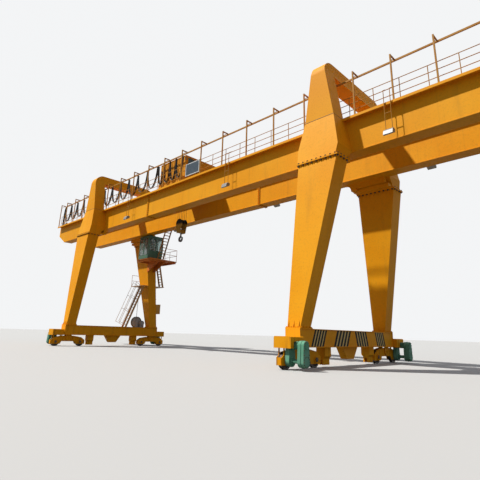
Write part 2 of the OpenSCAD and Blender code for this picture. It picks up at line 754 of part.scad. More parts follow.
module reel_bracket() {
    x = -sill_x - sill_w / 2 - 45;
    color(paint) {
        block([x - 60, reel_y - 160, sill_top], [x + 250, reel_y + 160, sill_top + 20]);
        block([x - 60, reel_y - 160, sill_top], [x - 30, reel_y + 160, reel_z + 140]);
        translate([x - 340, reel_y, reel_z]) rotate([0, 90, 0]) cylinder(h = 310, d = 60, $fn = 32);
        block([x + 20, reel_y + 190, sill_top], [x + 220, reel_y + 520, sill_top + 200]);
        translate([x + 120, reel_y + 350, sill_top + 330]) rotate([0, 90, 0])
            translate([0, 0, -140]) cylinder(h = 280, d = 270, $fn = 40);
    }
}

module cable_reel() {
    x = -sill_x - sill_w / 2 - 45 - 70;
    color("gray") translate([x, reel_y, reel_z]) rotate([0, -90, 0]) rotate_extrude($fn = 72) polygon([
        [30.05, 0], [reel_r, 0], [reel_r, 14], [230, 18], [230, 212], [reel_r, 216], [reel_r, 230], [30.05, 230]
    ]);
}

module electric_box() {
    z = 2650;
    color("peru") difference() {
        block([-sill_x - 230, leg_back(z) - 60, z], [-sill_x + 230, leg_back(z) + 430, z + 800]);
        corner(-1, 1) leg();
    }
}

module carriage() {
    difference() {
        union() {
            block([-1400, -130, frame_bottom], [1400, 130, frame_top]);
            for (s = [-1, 1]) block([s * trolley_base / 2 - 90, -130, trolley_wheel_z - 90],
                [s * trolley_base / 2 + 90, 130, frame_bottom]);
        }
        for (s = [-1, 1]) {
            block([s * trolley_base / 2 - 230, -65, trolley_wheel_z - 100],
                [s * trolley_base / 2 + 230, 65, frame_bottom + 190]);
            translate([s * trolley_base / 2, -200, trolley_wheel_z]) rotate([-90, 0, 0])
                cylinder(h = 400, d = 70.1, $fn = 48);
        }
    }
}

module trolley_frame() {
    color(paint) translate([trolley_x, 0, 0]) {
        for (s = [-1, 1]) translate([0, s * trolley_gauge / 2, 0]) carriage();
        for (x = [-1400, -100, 1200])
            block([x, -trolley_gauge / 2 + 130, frame_bottom + 40], [x + 200, trolley_gauge / 2 - 130, frame_top]);
        block([-1400, -trolley_gauge / 2 - 130, frame_top], [1400, trolley_gauge / 2 + 130, deck_top]);
    }
}

// Ribbed machine house with a pitched edge and a window in its near end.
module machine_house() {
    l = house_len / 2;
    w = house_w / 2;
    rib_n = 11;
    color(paint) translate([trolley_x, 0, deck_top]) difference() {
        union() {
            block([-l + 20, -w + 20, 0], [l - 20, w - 20, house_h - 20]);
            block([-l - 10, -w - 10, house_h - 50], [l + 10, w + 10, house_h]);
            for (i = [0 : rib_n]) for (s = [-1, 1]) {
                x = -l + i * (house_len - 70) / rib_n;
                block([x, s > 0 ? w - 30 : -w, 0], [x + 70, s > 0 ? w : -w + 30, house_h - 40]);
            }
        }
        block([l - 60, -w + 250, house_h - 620], [l + 20, -w + 900, house_h - 160]);
    }
}

module trolley_wheelset(s) {
    color(steel) translate([trolley_x + s * trolley_base / 2, 0, trolley_wheel_z]) rotate([-90, 0, 0]) {
        translate([0, 0, -trolley_gauge / 2 - 150]) cylinder(h = trolley_gauge + 300, d = 70, $fn = 48);
        for (y = [-1, 1]) translate([0, 0, y * trolley_gauge / 2 - 55]) rotate_extrude($fn = 72) polygon([
            [20, 0], [200, 0], [200, 15], [175, 22], [175, 88], [200, 95], [200, 110], [20, 110]
        ]);
    }
}

// Fixed upper sheaves that the hoist ropes run over.
module crown_sheaves() {
    color(steel) translate([hoist_x, 0, crown_z]) {
        rotate([-90, 0, 0]) translate([0, 0, -330]) cylinder(h = 660, d = 90, $fn = 32);
        for (i = [-1, 0, 1]) translate([0, i * sheave_pitch, 0]) sheave();
        for (s = [-1, 1]) block([-120, s > 0 ? 270 : -300, -80], [120, s > 0 ? 300 : -270, frame_top - crown_z]);
    }
}

module sheave() {
    rotate([-90, 0, 0]) translate([0, 0, -28]) rotate_extrude($fn = 64) polygon([
        [30, 0], [sheave_d / 2, 0], [groove_r, 15], [groove_r, 41], [sheave_d / 2, 56], [30, 56]
    ]);
}

module hoist_ropes() {
    color("black") for (i = [-1, 0, 1]) for (s = [-1, 1])
        tube_z(hoist_x + s * rope_off, i * sheave_pitch, block_z, crown_z, rope_d);
}

module hook_block() {
    r = sheave_d / 2;
    color(steel) translate([hoist_x, 0, block_z]) {
        rotate([-90, 0, 0]) translate([0, 0, -290]) cylinder(h = 580, d = 110, $fn = 40);
        for (i = [-1, 0, 1]) translate([0, i * sheave_pitch, 0]) sheave();
        for (s = [-1, 1]) along_y(s > 0 ? 215 : -245, s > 0 ? 245 : -215) union() {
            circle(r = r + 40, $fn = 64);
            polygon([[-r - 38, -20], [r + 38, -20], [190, -700], [-190, -700]]);
        }
        difference() {
            block([-150, -215, -680], [150, 215, -480]);
            translate([0, 0, -700]) cylinder(h = 300, d = 110.1, $fn = 48);
        }
    }
}

hook_z = block_z - 1120;

module hook() {
    hr = 150;
    color(shade) translate([hoist_x, 0, hook_z]) {
        translate([0, 0, hr - 20]) cylinder(h = 520, d = 110, $fn = 48);
        translate([0, 0, 640 + seat]) cylinder(h = 70, d = 190, $fn = 48);
        along_y(-48, 48) difference() {
            union() {
                circle(r = hr + 55, $fn = 64);
                translate([-55, 60]) square([110, hr - 10]);
                polygon([[60, 60], [hr + 52, 10], [hr + 62, 120], [hr + 10, 30], [110, 10]]);
            }
            translate([12, 10]) circle(r = hr - 50, $fn = 48);
            polygon([[12, 10], [56, 240], [hr + 5, 110], [hr + 5, 10]]);
        }
    }
}

mirror([0, 1, 0]) girder(-splice_x);  // girder_front
girder(splice_x);  // girder_back
trolley_rails();
yoke(1);  // yoke_near
yoke(-1);  // yoke_far
knees(1);  // knees_near
knees(-1);  // knees_far
leg_at(1, -1);  // leg_near_front
leg_at(1, 1);  // leg_near_back
leg_at(-1, -1);  // leg_far_front
leg_at(-1, 1);  // leg_far_back
sill(1);  // sill_near
sill(-1);  // sill_far
rail_clamps();
bogie_at(1, -1);  // bogie_near_front
bogie_at(1, 1);  // bogie_near_back
bogie_at(-1, -1);  // bogie_far_front
bogie_at(-1, 1);  // bogie_far_back
travel_drives();
crane_wheel(1, -1, 1);  // wheel_near_front_outer
crane_wheel(1, -1, -1);  // wheel_near_front_inner
crane_wheel(1, 1, 1);  // wheel_near_back_outer
crane_wheel(1, 1, -1);  // wheel_near_back_inner
crane_wheel(-1, -1, 1);  // wheel_far_front_outer
crane_wheel(-1, -1, -1);  // wheel_far_front_inner
crane_wheel(-1, 1, 1);  // wheel_far_back_outer
crane_wheel(-1, 1, -1);  // wheel_far_back_inner
handrail(-1);  // handrail_front
handrail(1);  // handrail_back
festoon_track();
festoon_cable();
lamp_hangers();
floodlights();
capacity_sign();
stair_lower();
leg_landing();
stair_middle();
cab_platform();
stair_upper();
cab_shell();
cab_glass();
reel_bracket();
cable_reel();
electric_box();
trolley_frame();
machine_house();
crown_sheaves();
trolley_wheelset(1);  // trolley_wheelset_near
trolley_wheelset(-1);  // trolley_wheelset_far
hoist_ropes();
hook_block();
hook();
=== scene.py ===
"""Looks of a double girder gantry crane on rail bogies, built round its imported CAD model."""

import math

import bpy
from mathutils import Matrix, Vector


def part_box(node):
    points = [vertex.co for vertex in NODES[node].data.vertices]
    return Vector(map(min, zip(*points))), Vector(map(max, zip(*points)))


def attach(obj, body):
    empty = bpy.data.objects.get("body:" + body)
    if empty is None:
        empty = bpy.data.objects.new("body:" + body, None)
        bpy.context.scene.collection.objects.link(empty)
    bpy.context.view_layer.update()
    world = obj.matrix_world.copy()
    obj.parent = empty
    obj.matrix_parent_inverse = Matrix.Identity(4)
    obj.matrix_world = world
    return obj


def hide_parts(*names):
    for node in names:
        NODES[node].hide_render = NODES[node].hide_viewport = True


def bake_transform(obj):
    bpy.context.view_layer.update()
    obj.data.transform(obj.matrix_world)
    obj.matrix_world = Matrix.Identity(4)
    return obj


bl_info = {
    "name": "Gantry Crane Looks",
    "version": (1, 0, 0),
    "blender": (4, 5, 0),
    "location": "3D View > Sidebar > Gantry Crane",
    "description": "Finishes and small parts of a double girder gantry crane",
    "category": "Object",
}

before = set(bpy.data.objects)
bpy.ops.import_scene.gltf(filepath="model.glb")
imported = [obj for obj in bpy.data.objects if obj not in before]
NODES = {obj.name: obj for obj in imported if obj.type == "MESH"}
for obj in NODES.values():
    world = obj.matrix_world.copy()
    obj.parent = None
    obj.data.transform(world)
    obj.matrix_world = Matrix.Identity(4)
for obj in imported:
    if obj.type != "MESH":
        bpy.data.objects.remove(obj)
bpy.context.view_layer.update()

# Places taken from the CAD model, in metres; the lamps' slope is in radians.
GIRDER_TOP = 10.735
WEB_IN = 1.176
WEB_OUT = 1.868
FLANGE_OUT = 2.162
SILL_X = 10.5
SILL_HALF = 0.31
SILL_TOP = 1.483
SILL_BOTTOM = 0.78
FOOT_TOP = SILL_TOP + 0.03
BOGIE_Y = 3.565
HALF_BASE = 0.915
FORK_HALF = 0.165
WHEEL_Z = 0.31
JOINT_Z = 8.6
JOINT_HALF = 0.03
LEG_IN = 10.28
LEG_OUT = 12.25
TROLLEY_X = -1.88
HOIST_X = TROLLEY_X - 0.49
BLOCK_Z = 8.65
CROWN_Z = 11.032
SPLICE_X = 4.0
LAMPS_X = (-6.18, 4.53, 14.18)
LAMP_Z = 9.1977
LAMP_SLOPE = 0.496
CAB_SIZE = (1.48, 1.42)
CAB_LEAN = 0.15
MULLION = 0.09

# The hanging cable: four strands side by side, in loops between carriers.
CABLE_START = -19.2
CABLE_END = -3.39
CABLE_Y = -1.722
CABLE_TOP = 12.725
CABLE_DROP = 1.45
CABLE_LOOPS = 12
HOUSE_CABLE_END = -0.44
HOUSE_LOOPS = 4
STRANDS = (-0.06, -0.02, 0.02, 0.06)

# Travel drives: height of the motor, lift of the housing's upper half and its height.
MOTOR_Z = 0.85
HOUSING_RISE = 0.56
HOUSING_Z = 0.87

# The camera, fitted to the photograph; picture, focal length and rise are in its pixels.
CAMERA_PLACE = (20.42, -17.03, 1.242)
CAMERA_WAY = (-0.67674, 0.68151, 0.27851)
CAMERA_ROLL = math.radians(1.626)
PICTURE = 480
FOCAL = 405.53
RISE = -24.5
SENSOR = 36
# The way the sunlight falls.
SUN_WAY = (0.397, 0.45, -0.828)

# Mirrorings to all four corners and to both ends, and turns that lay the Z axis along another.
CORNERS = [Matrix.Diagonal((sx, sy, 1, 1)) for sx in (1, -1) for sy in (1, -1)]
ENDS = [Matrix.Identity(4), Matrix.Diagonal((-1, 1, 1, 1))]
TURNS = {"X": (0, math.pi / 2, 0), "Y": (math.pi / 2, 0, 0), "Z": (0, 0, 0)}
# A face looks along an axis when its normal's part along it is more than this.
FACING = 0.9


def metres(name, text, value):
    return bpy.props.FloatProperty(name=name, description=text, default=value, unit="LENGTH")


def paint_colour(name, text, value):
    return bpy.props.FloatVectorProperty(
        name=name, description=text, default=value, subtype="COLOR", size=3, min=0, max=1
    )


class CranePaints(bpy.types.PropertyGroup):
    """Colours of the crane's finishes, linear values."""

    crane: paint_colour("Crane paint", "Main colour of girders and legs", (0.80, 0.315, 0.002))
    crane_faded: paint_colour("Faded paint", "Where sun and rain wore it", (0.84, 0.365, 0.008))
    # The rail paint is the crane's yellow made darker and browner: painted shade.
    rails: paint_colour("Rail paint", "Hand rails, stairs, cable posts", (0.40, 0.175, 0.022))
    platform: paint_colour("Platform paint", "Cab platform", (0.62, 0.16, 0.022))
    cab: paint_colour("Cab paint", "Operator cab", (0.055, 0.145, 0.085))
    drives: paint_colour("Drive paint", "Travel motors and gearboxes", (0.11, 0.31, 0.20))
    reel: paint_colour("Reel paint", "Cable reel", (0.30, 0.31, 0.31))
    stripes: paint_colour("Stripe paint", "Stripes on the sill beams", (0.016, 0.016, 0.017))


class CraneSizes(bpy.types.PropertyGroup):
    """Sizes of the small parts."""

    bolt_across: metres("Bolt width", "Width of a flange bolt's head", 0.07)
    bolt_high: metres("Bolt height", "Height of a flange bolt's head", 0.05)
    cable_d: metres("Cable diameter", "Each strand of the trolley's hanging cable", 0.04)
    rope_d: metres("Rope diameter", "Hoist rope", 0.0198)
    stripe_gap: metres("Stripe height margin", "Space above and below a warning stripe", 0.03)


# Materials: each pattern lies in Object coordinates.


def new_material(name):
    """A material with its shader, and the places and links to build on."""
    m = bpy.data.materials.new(name)
    m.use_nodes = True
    tree = m.node_tree
    place = tree.nodes.new("ShaderNodeTexCoord").outputs["Object"]
    return m, tree, tree.nodes["Principled BSDF"], place


def noise(tree, place, scale, detail=4.0, stretch=(1, 1, 1)):
    mapping = tree.nodes.new("ShaderNodeMapping")
    mapping.inputs["Scale"].default_value = stretch
    tree.links.new(place, mapping.inputs["Vector"])
    n = tree.nodes.new("ShaderNodeTexNoise")
    for name, value in (("Scale", scale), ("Detail", detail), ("Roughness", 0.55)):
        n.inputs[name].default_value = value
    tree.links.new(mapping.outputs["Vector"], n.inputs["Vector"])
    return n.outputs["Fac"]


def ramp(tree, value, low, high, start=0.0, end=1.0):
    """A grey that goes from one level to another while a value goes from low to high."""
    r = tree.nodes.new("ShaderNodeValToRGB")
    first, last = r.color_ramp.elements
    first.position, first.color = low, (start, start, start, 1)
    last.position, last.color = high, (end, end, end, 1)
    tree.links.new(value, r.inputs["Fac"])
    return r.outputs["Color"]


def mix(tree, factor, a, b):
    """Goes from colour a to colour b; each may be a socket or three numbers."""
    n = tree.nodes.new("ShaderNodeMix")
    n.data_type = "RGBA"
    sockets = {s.identifier: s for s in n.inputs}
    for name, value in (("Factor_Float", factor), ("A_Color", a), ("B_Color", b)):
        if isinstance(value, tuple):
            sockets[name].default_value = (*value, 1)
        else:
            tree.links.new(value, sockets[name])
    return next(s for s in n.outputs if s.identifier == "Result_Color")


def math_node(tree, operation, a, b):
    n = tree.nodes.new("ShaderNodeMath")
    n.operation = operation
    for socket, value in zip(n.inputs, (a, b)):
        if isinstance(value, (int, float)):
            socket.default_value = value
        else:
            tree.links.new(value, socket)
    return n.outputs[0]


def map_range(tree, value, target=(0, 1), source=(0, 1)):
    n = tree.nodes.new("ShaderNodeMapRange")
    for name, limit in zip(("From Min", "From Max", "To Min", "To Max"), (*source, *target)):
        n.inputs[name].default_value = limit
    tree.links.new(value, n.inputs["Value"])
    return n.outputs["Result"]


def along(tree, place, axis):
    split = tree.nodes.new("ShaderNodeSeparateXYZ")
    tree.links.new(place, split.inputs[0])
    return split.outputs[axis]


def cover(tree, shader, colour, pattern, rough):
    """Links a colour, and a roughness that follows a pattern between two values."""
    tree.links.new(colour, shader.inputs["Base Color"])
    tree.links.new(map_range(tree, pattern, rough), shader.inputs["Roughness"])


def bump(tree, shader, height, strength, distance):
    b = tree.nodes.new("ShaderNodeBump")
    b.inputs["Strength"].default_value = strength
    b.inputs["Distance"].default_value = distance
    tree.links.new(height, b.inputs["Height"])
    tree.links.new(b.outputs["Normal"], shader.inputs["Normal"])


def painted(name, colour, faded, dirt=0.2, seams=0.0, rough=(0.48, 0.66),
            grime=(0.10, 0.055, 0.02), size=1.0):
    """Sprayed plate work: faded patches, rain streaks and, if asked, a weld seam at each step."""
    m, tree, shader, place = new_material(name)
    patches = noise(tree, place, 0.35 / size, 3)
    fine = noise(tree, place, 14 / size, 5)
    streaks = noise(tree, place, 2.6 / size, 4, stretch=(1, 1, 0.07))
    tone = mix(tree, ramp(tree, patches, 0.36, 0.66), colour, faded)
    tone = mix(tree, ramp(tree, fine, 0.50, 0.80, end=0.22), tone, grime)
    tone = mix(tree, ramp(tree, streaks, 0.56, 0.80, end=dirt), tone, grime)
    height = noise(tree, place, 1.1 / size, 2)
    if seams:
        near = math_node(tree, "PINGPONG", along(tree, place, "X"), seams / 2)
        line = math_node(tree, "LESS_THAN", near, 0.009)
        tone = mix(tree, ramp(tree, near, 0.0, 0.05, 0.07, 0.0), tone, grime)
        height = math_node(tree, "ADD", height, math_node(tree, "MULTIPLY", line, 0.12))
    cover(tree, shader, tone, fine, rough)
    shader.inputs["Specular IOR Level"].default_value = 0.12
    bump(tree, shader, height, 0.18, 0.010)
    return m


def bare_metal(name, light, dark, metallic=0.75, scale=22, rusty=0.5):
    """Greasy or rubbed steel with some rust."""
    m, tree, shader, place = new_material(name)
    fine = noise(tree, place, scale, 6)
    blots = noise(tree, place, scale / 5, 4)
    tone = mix(tree, ramp(tree, fine, 0.35, 0.7), dark, light)
    tone = mix(tree, ramp(tree, blots, 0.52, 0.72, end=rusty), tone, (0.15, 0.055, 0.02))
    cover(tree, shader, tone, blots, (0.38, 0.62))
    shader.inputs["Metallic"].default_value = metallic
    bump(tree, shader, fine, 0.3, 0.002)
    return m


def rubber_black(name, tone=0.018):
    """Sheathed cable with patches of dust."""
    m, tree, shader, place = new_material(name)
    dust = noise(tree, place, 9, 4)
    dusty = (tone * 3.2, tone * 3, tone * 2.6)
    colour = mix(tree, ramp(tree, dust, 0.42, 0.75), (tone, tone, tone), dusty)
    cover(tree, shader, colour, dust, (0.42, 0.68))
    bump(tree, shader, noise(tree, place, 120, 2), 0.2, 0.001)
    return m


def rope_wire(name):
    """Greased wire rope: slanting strands."""
    m, tree, shader, place = new_material(name)
    wave = tree.nodes.new("ShaderNodeTexWave")
    wave.wave_type = "BANDS"
    wave.bands_direction = "DIAGONAL"
    wave.inputs["Scale"].default_value = 14
    wave.inputs["Distortion"].default_value = 0.6
    tree.links.new(place, wave.inputs["Vector"])
    strands = wave.outputs["Fac"]
    tone = mix(tree, strands, (0.018, 0.017, 0.016), (0.10, 0.095, 0.085))
    cover(tree, shader, tone, noise(tree, place, 30, 3), (0.35, 0.6))
    shader.inputs["Metallic"].default_value = 0.6
    bump(tree, shader, strands, 0.6, 0.003)
    return m


def window_glass(name):
    """Clear glass with a faint film of dust."""
    m, tree, shader, place = new_material(name)
    dust = noise(tree, place, 5, 5)
    tone = mix(tree, ramp(tree, dust, 0.4, 0.8), (0.62, 0.74, 0.72), (0.48, 0.55, 0.52))
    cover(tree, shader, tone, dust, (0.03, 0.16))
    shader.inputs["Transmission Weight"].default_value = 0.85
    shader.inputs["IOR"].default_value = 1.45
    return m


def chequer_plate(name, colour, worn):
    """Painted tread plate: raised lozenges, rubbed pale where people step."""
    m, tree, shader, place = new_material(name)
    cells = tree.nodes.new("ShaderNodeTexVoronoi")
    cells.feature = "F1"
    cells.distance = "CHEBYCHEV"
    cells.inputs["Scale"].default_value = 18
    cells.inputs["Randomness"].default_value = 0.15
    tree.links.new(place, cells.inputs["Vector"])
    raised = math_node(tree, "LESS_THAN", cells.outputs["Distance"], 0.28)
    wear = noise(tree, place, 2.2, 5)
    tone = mix(tree, ramp(tree, wear, 0.42, 0.7), colour, worn)
    tone = mix(tree, math_node(tree, "MULTIPLY", raised, 0.25), tone, worn)
    cover(tree, shader, tone, wear, (0.4, 0.62))
    bump(tree, shader, raised, 0.35, 0.003)
    return m


def enamel(name, colour, pale, rough=(0.28, 0.5), scale=8, gloss=0.35):
    """Smooth enamel with small scuffs."""
    m, tree, shader, place = new_material(name)
    scuffs = noise(tree, place, scale, 6)
    tone = mix(tree, ramp(tree, scuffs, 0.5, 0.82), colour, pale)
    cover(tree, shader, tone, scuffs, rough)
    shader.inputs["Specular IOR Level"].default_value = gloss
    bump(tree, shader, noise(tree, place, scale * 6, 3), 0.12, 0.001)
    return m


MATERIALS = {}


def finish_of(name):
    """Each finish is made once, from the colours in the panel."""
    if name in MATERIALS:
        return MATERIALS[name]
    p = bpy.context.scene.crane_paints
    crane = tuple(p.crane), tuple(p.crane_faded)
    rails = tuple(p.rails)
    house = (0.62, 0.24, 0.006), (0.70, 0.30, 0.02)
    box = (0.66, 0.32, 0.06), (0.72, 0.42, 0.12)
    block = (0.42, 0.22, 0.02), (0.50, 0.28, 0.05)
    makers = {
        "girder paint": lambda: painted(name, *crane, seams=2.0),
        "frame paint": lambda: painted(name, *crane, dirt=0.16),
        "sill paint": lambda: painted(name, *crane, dirt=0.4, size=0.6),
        "bogie paint": lambda: painted(name, *crane, dirt=0.8, size=0.4, rough=(0.55, 0.78)),
        "house paint": lambda: painted(name, *house, dirt=0.5, size=0.6),
        # The rail paint, its faded tone and the steps made from it are darkened: painted shade.
        "shaded rail paint": lambda: painted(name, rails, (0.46, 0.23, 0.045), dirt=0.5, size=0.25),
        "step paint": lambda: chequer_plate(name, rails, (0.40, 0.26, 0.12)),
        "platform paint": lambda: painted(
            name, tuple(p.platform), (0.66, 0.24, 0.05), dirt=0.5, size=0.4),
        "cab paint": lambda: enamel(name, tuple(p.cab), (0.09, 0.17, 0.12)),
        "drive paint": lambda: painted(
            name, tuple(p.drives), (0.17, 0.38, 0.27), dirt=0.6, size=0.2,
            grime=(0.05, 0.05, 0.04)),
        "reel paint": lambda: enamel(name, tuple(p.reel), (0.42, 0.42, 0.41)),
        "box paint": lambda: painted(name, *box, dirt=0.4, size=0.3),
        "block paint": lambda: painted(
            name, *block, dirt=0.9, size=0.2, grime=(0.03, 0.025, 0.02)),
        "wheel steel": lambda: bare_metal(name, (0.10, 0.09, 0.08), (0.035, 0.03, 0.028)),
        "rail steel": lambda: bare_metal(
            name, (0.22, 0.20, 0.18), (0.07, 0.055, 0.045), scale=14),
        "bolt steel": lambda: bare_metal(
            name, (0.10, 0.075, 0.05), (0.03, 0.022, 0.018), scale=40, rusty=0.8),
        "clamp steel": lambda: bare_metal(
            name, (0.05, 0.045, 0.04), (0.02, 0.018, 0.016), metallic=0.4),
        "cable sheath": lambda: rubber_black(name),
        "tyre black": lambda: rubber_black(name, 0.024),
        "wire rope": lambda: rope_wire(name),
        "window glass": lambda: window_glass(name),
        "dark glass": lambda: enamel(
            name, (0.012, 0.016, 0.020), (0.03, 0.035, 0.04), rough=(0.06, 0.16)),
        "lamp case": lambda: enamel(name, (0.24, 0.25, 0.25), (0.34, 0.34, 0.33)),
        "lamp glass": lambda: enamel(
            name, (0.50, 0.52, 0.50), (0.62, 0.62, 0.60), rough=(0.08, 0.2)),
        "sign slate": lambda: enamel(name, (0.030, 0.052, 0.075), (0.06, 0.08, 0.10), scale=5),
        "sign white": lambda: enamel(name, (0.62, 0.64, 0.64), (0.50, 0.50, 0.48), scale=12),
        "stripe cream": lambda: enamel(
            name, (0.70, 0.50, 0.18), (0.74, 0.58, 0.28), (0.5, 0.7), 6, 0.1),
        "stripe paint": lambda: enamel(
            name, tuple(p.stripes), (0.03, 0.026, 0.022), (0.6, 0.8), 6, 0.1),
        "seat cloth": lambda: enamel(
            name, (0.03, 0.035, 0.045), (0.05, 0.055, 0.06), (0.6, 0.85), 40),
    }
    MATERIALS[name] = makers[name]()
    return MATERIALS[name]


def darken_by_height(material, low, high, tone):
    """Darkening that grows from one height of the mesh to another."""
    tree = material.node_tree
    base = tree.nodes["Principled BSDF"].inputs["Base Color"]
    clean = base.links[0].from_socket
    place = tree.nodes.new("ShaderNodeTexCoord").outputs["Object"]
    level = map_range(tree, along(tree, place, "Z"), source=(low, high))
    tree.links.new(mix(tree, level, clean, tone), base)


def clothe(obj, finish):
    obj.data.materials.clear()
    obj.data.materials.append(finish_of(finish))


# Modelling helpers: each leaves a finished mesh at the origin, unturned and unscaled.


def begin():
    if bpy.context.object and bpy.context.object.mode != "OBJECT":
        bpy.ops.object.mode_set(mode="OBJECT")
    bpy.ops.object.select_all(action="DESELECT")


def only(obj):
    begin()
    obj.select_set(True)
    bpy.context.view_layer.objects.active = obj
    return obj


def settle():
    """Puts the active object's place into its mesh."""
    bpy.ops.object.transform_apply(location=True, rotation=True, scale=True)
    return bpy.context.object


def edit_some(obj, kind, test):
    """Opens edit mode with the faces or corners selected that pass a test."""
    only(obj)
    bpy.ops.object.mode_set(mode="EDIT")
    bpy.ops.mesh.select_mode(type=kind)
    bpy.ops.mesh.select_all(action="DESELECT")
    bpy.ops.object.mode_set(mode="OBJECT")
    for item in obj.data.polygons if kind == "FACE" else obj.data.vertices:
        item.select = bool(test(item))
    bpy.ops.object.mode_set(mode="EDIT")


def done_editing():
    bpy.ops.object.mode_set(mode="OBJECT")
    return bpy.context.object


def edit_all(obj):
    only(obj)
    bpy.ops.object.mode_set(mode="EDIT")
    bpy.ops.mesh.select_all(action="SELECT")


def plate(lo, hi, edge=0.003, segments=1):
    """A plate or block between two corners, with its edges broken unless edge is 0."""
    begin()
    lo, hi = Vector(lo), Vector(hi)
    bpy.ops.mesh.primitive_cube_add(size=1, location=(lo + hi) / 2, scale=hi - lo)
    obj = settle()
    if edge:
        edit_all(obj)
        bpy.ops.mesh.bevel(offset=edge, segments=segments, affect="EDGES")
        done_editing()
    return obj


def drum(centre, radius, depth, sides, axis="Z"):
    begin()
    bpy.ops.mesh.primitive_cylinder_add(
        vertices=sides, radius=radius, depth=depth, location=centre, rotation=TURNS[axis])
    return settle()


def rounded_rod(centre, radius, depth, axis="Z", sides=24, edge=0.004):
    """A turned bar with chamfered rims."""
    obj = drum(centre, radius, depth, sides, axis)
    k = "XYZ".index(axis)
    edit_some(obj, "FACE", lambda f: abs(f.normal[k]) > FACING)
    bpy.ops.mesh.inset(thickness=edge, depth=edge * 0.8)
    return done_editing()


def ring(centre, radius, thick, segments):
    """A ring round the X axis; thick is the radius of its section."""
    begin()
    bpy.ops.mesh.primitive_torus_add(
        location=centre, rotation=TURNS["X"], major_segments=segments, minor_segments=8,
        major_radius=radius, minor_radius=thick)
    return settle()


def rim(u, z, depth, across, outer, inner, edge=0.002):
    """Four strips round an opening, in a wall across X or Y: so far outside it and inside."""
    (u0, u1), (z0, z1), (near, far) = u, z, depth
    strips = []
    for ua, ub, za, zb in (
        (u0 - outer, u1 + outer, z0 - outer, z0 + inner),
        (u0 - outer, u1 + outer, z1 - inner, z1 + outer),
        (u0 - outer, u0 + inner, z0 + inner, z1 - inner),
        (u1 - inner, u1 + outer, z0 + inner, z1 - inner),
    ):
        if across == "X":
            strips.append(plate((near, ua, za), (far, ub, zb), edge))
        else:
            strips.append(plate((ua, near, za), (ub, far, zb), edge))
    return strips


def smooth(obj, angle=35):
    only(obj)
    bpy.ops.object.shade_smooth_by_angle(angle=math.radians(angle))
    return obj


def copies(master, places):
    """A copy of a finished mesh at each place, with its own mesh; the master is used up."""
    made = []
    for at in places:
        c = master.copy()
        c.data = master.data.copy()
        bpy.context.scene.collection.objects.link(c)
        c.data.transform(at)
        if at.determinant() < 0:
            c.data.flip_normals()
        made.append(c)
    bpy.data.objects.remove(master)
    return made


def repeated(masters, places=CORNERS):
    """Each part at each place: unless told otherwise, mirrored to the crane's four corners."""
    return [c for m in masters for c in copies(m, places)]


def join(parts):
    begin()
    for o in parts:
        o.select_set(True)
    bpy.context.view_layer.objects.active = parts[0]
    if len(parts) > 1:
        bpy.ops.object.join()
    return bpy.context.object


def gather(parts, name, finish, body):
    """Joins parts into one piece that rides on a body."""
    obj = join(parts)
    obj.name = name
    clothe(obj, finish)
    if body:
        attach(obj, body)
    return obj


def shift(x, y, z):
    return Matrix.Translation((x, y, z))


def corners(places):
    """Places at the near back corner, carried to all four corners."""
    return [c @ p for c in CORNERS for p in places]


def round_shaft(part, angle, y, z):
    """Turns a part about the X axis and carries it to a shaft."""
    part.data.transform(Matrix.Rotation(angle, 4, "X"))
    part.data.transform(shift(0, y, z))
    return part


def arc(radius, z, degrees):
    """Points (y, z) of a circle about a height."""
    turns = [math.radians(a) for a in degrees]
    return [(radius * math.cos(a), z + radius * math.sin(a)) for a in turns]


def hex_bolt(size, high):
    """A flange bolt standing on z 0: washer and chamfered hexagon."""
    head = drum((0, 0, high / 2 + 0.004), size / 2, high, 6)
    edit_some(head, "FACE", lambda f: f.normal.z > FACING)
    bpy.ops.mesh.inset(thickness=size * 0.09, depth=high * 0.14)
    done_editing()
    return join([head, drum((0, 0, 0.003), size * 0.66, 0.006, 10)])


def tube_along(points, radius, sides=10):
    """A round tube along points, as a mesh."""
    curve = bpy.data.curves.new("route", "CURVE")
    curve.dimensions = "3D"
    line = curve.splines.new("POLY")
    line.points.add(len(points) - 1)
    for p, q in zip(line.points, points):
        p.co = (*q, 1)
    curve.bevel_depth = radius
    curve.bevel_resolution = max(0, sides // 4 - 1)
    curve.use_fill_caps = True
    obj = bpy.data.objects.new("tube", curve)
    bpy.context.scene.collection.objects.link(obj)
    only(obj)
    bpy.ops.object.convert(target="MESH")
    edit_all(bpy.context.object)
    bpy.ops.mesh.remove_doubles(threshold=0.0002)
    bpy.ops.mesh.normals_make_consistent(inside=False)
    return smooth(done_editing(), 60)


def leg_back(z):
    """How far out the back face of a leg stands at a height."""
    return 3.5364 - 0.1069 * (z - 5.0)


def sizes():
    return bpy.context.scene.crane_sizes


# Operators


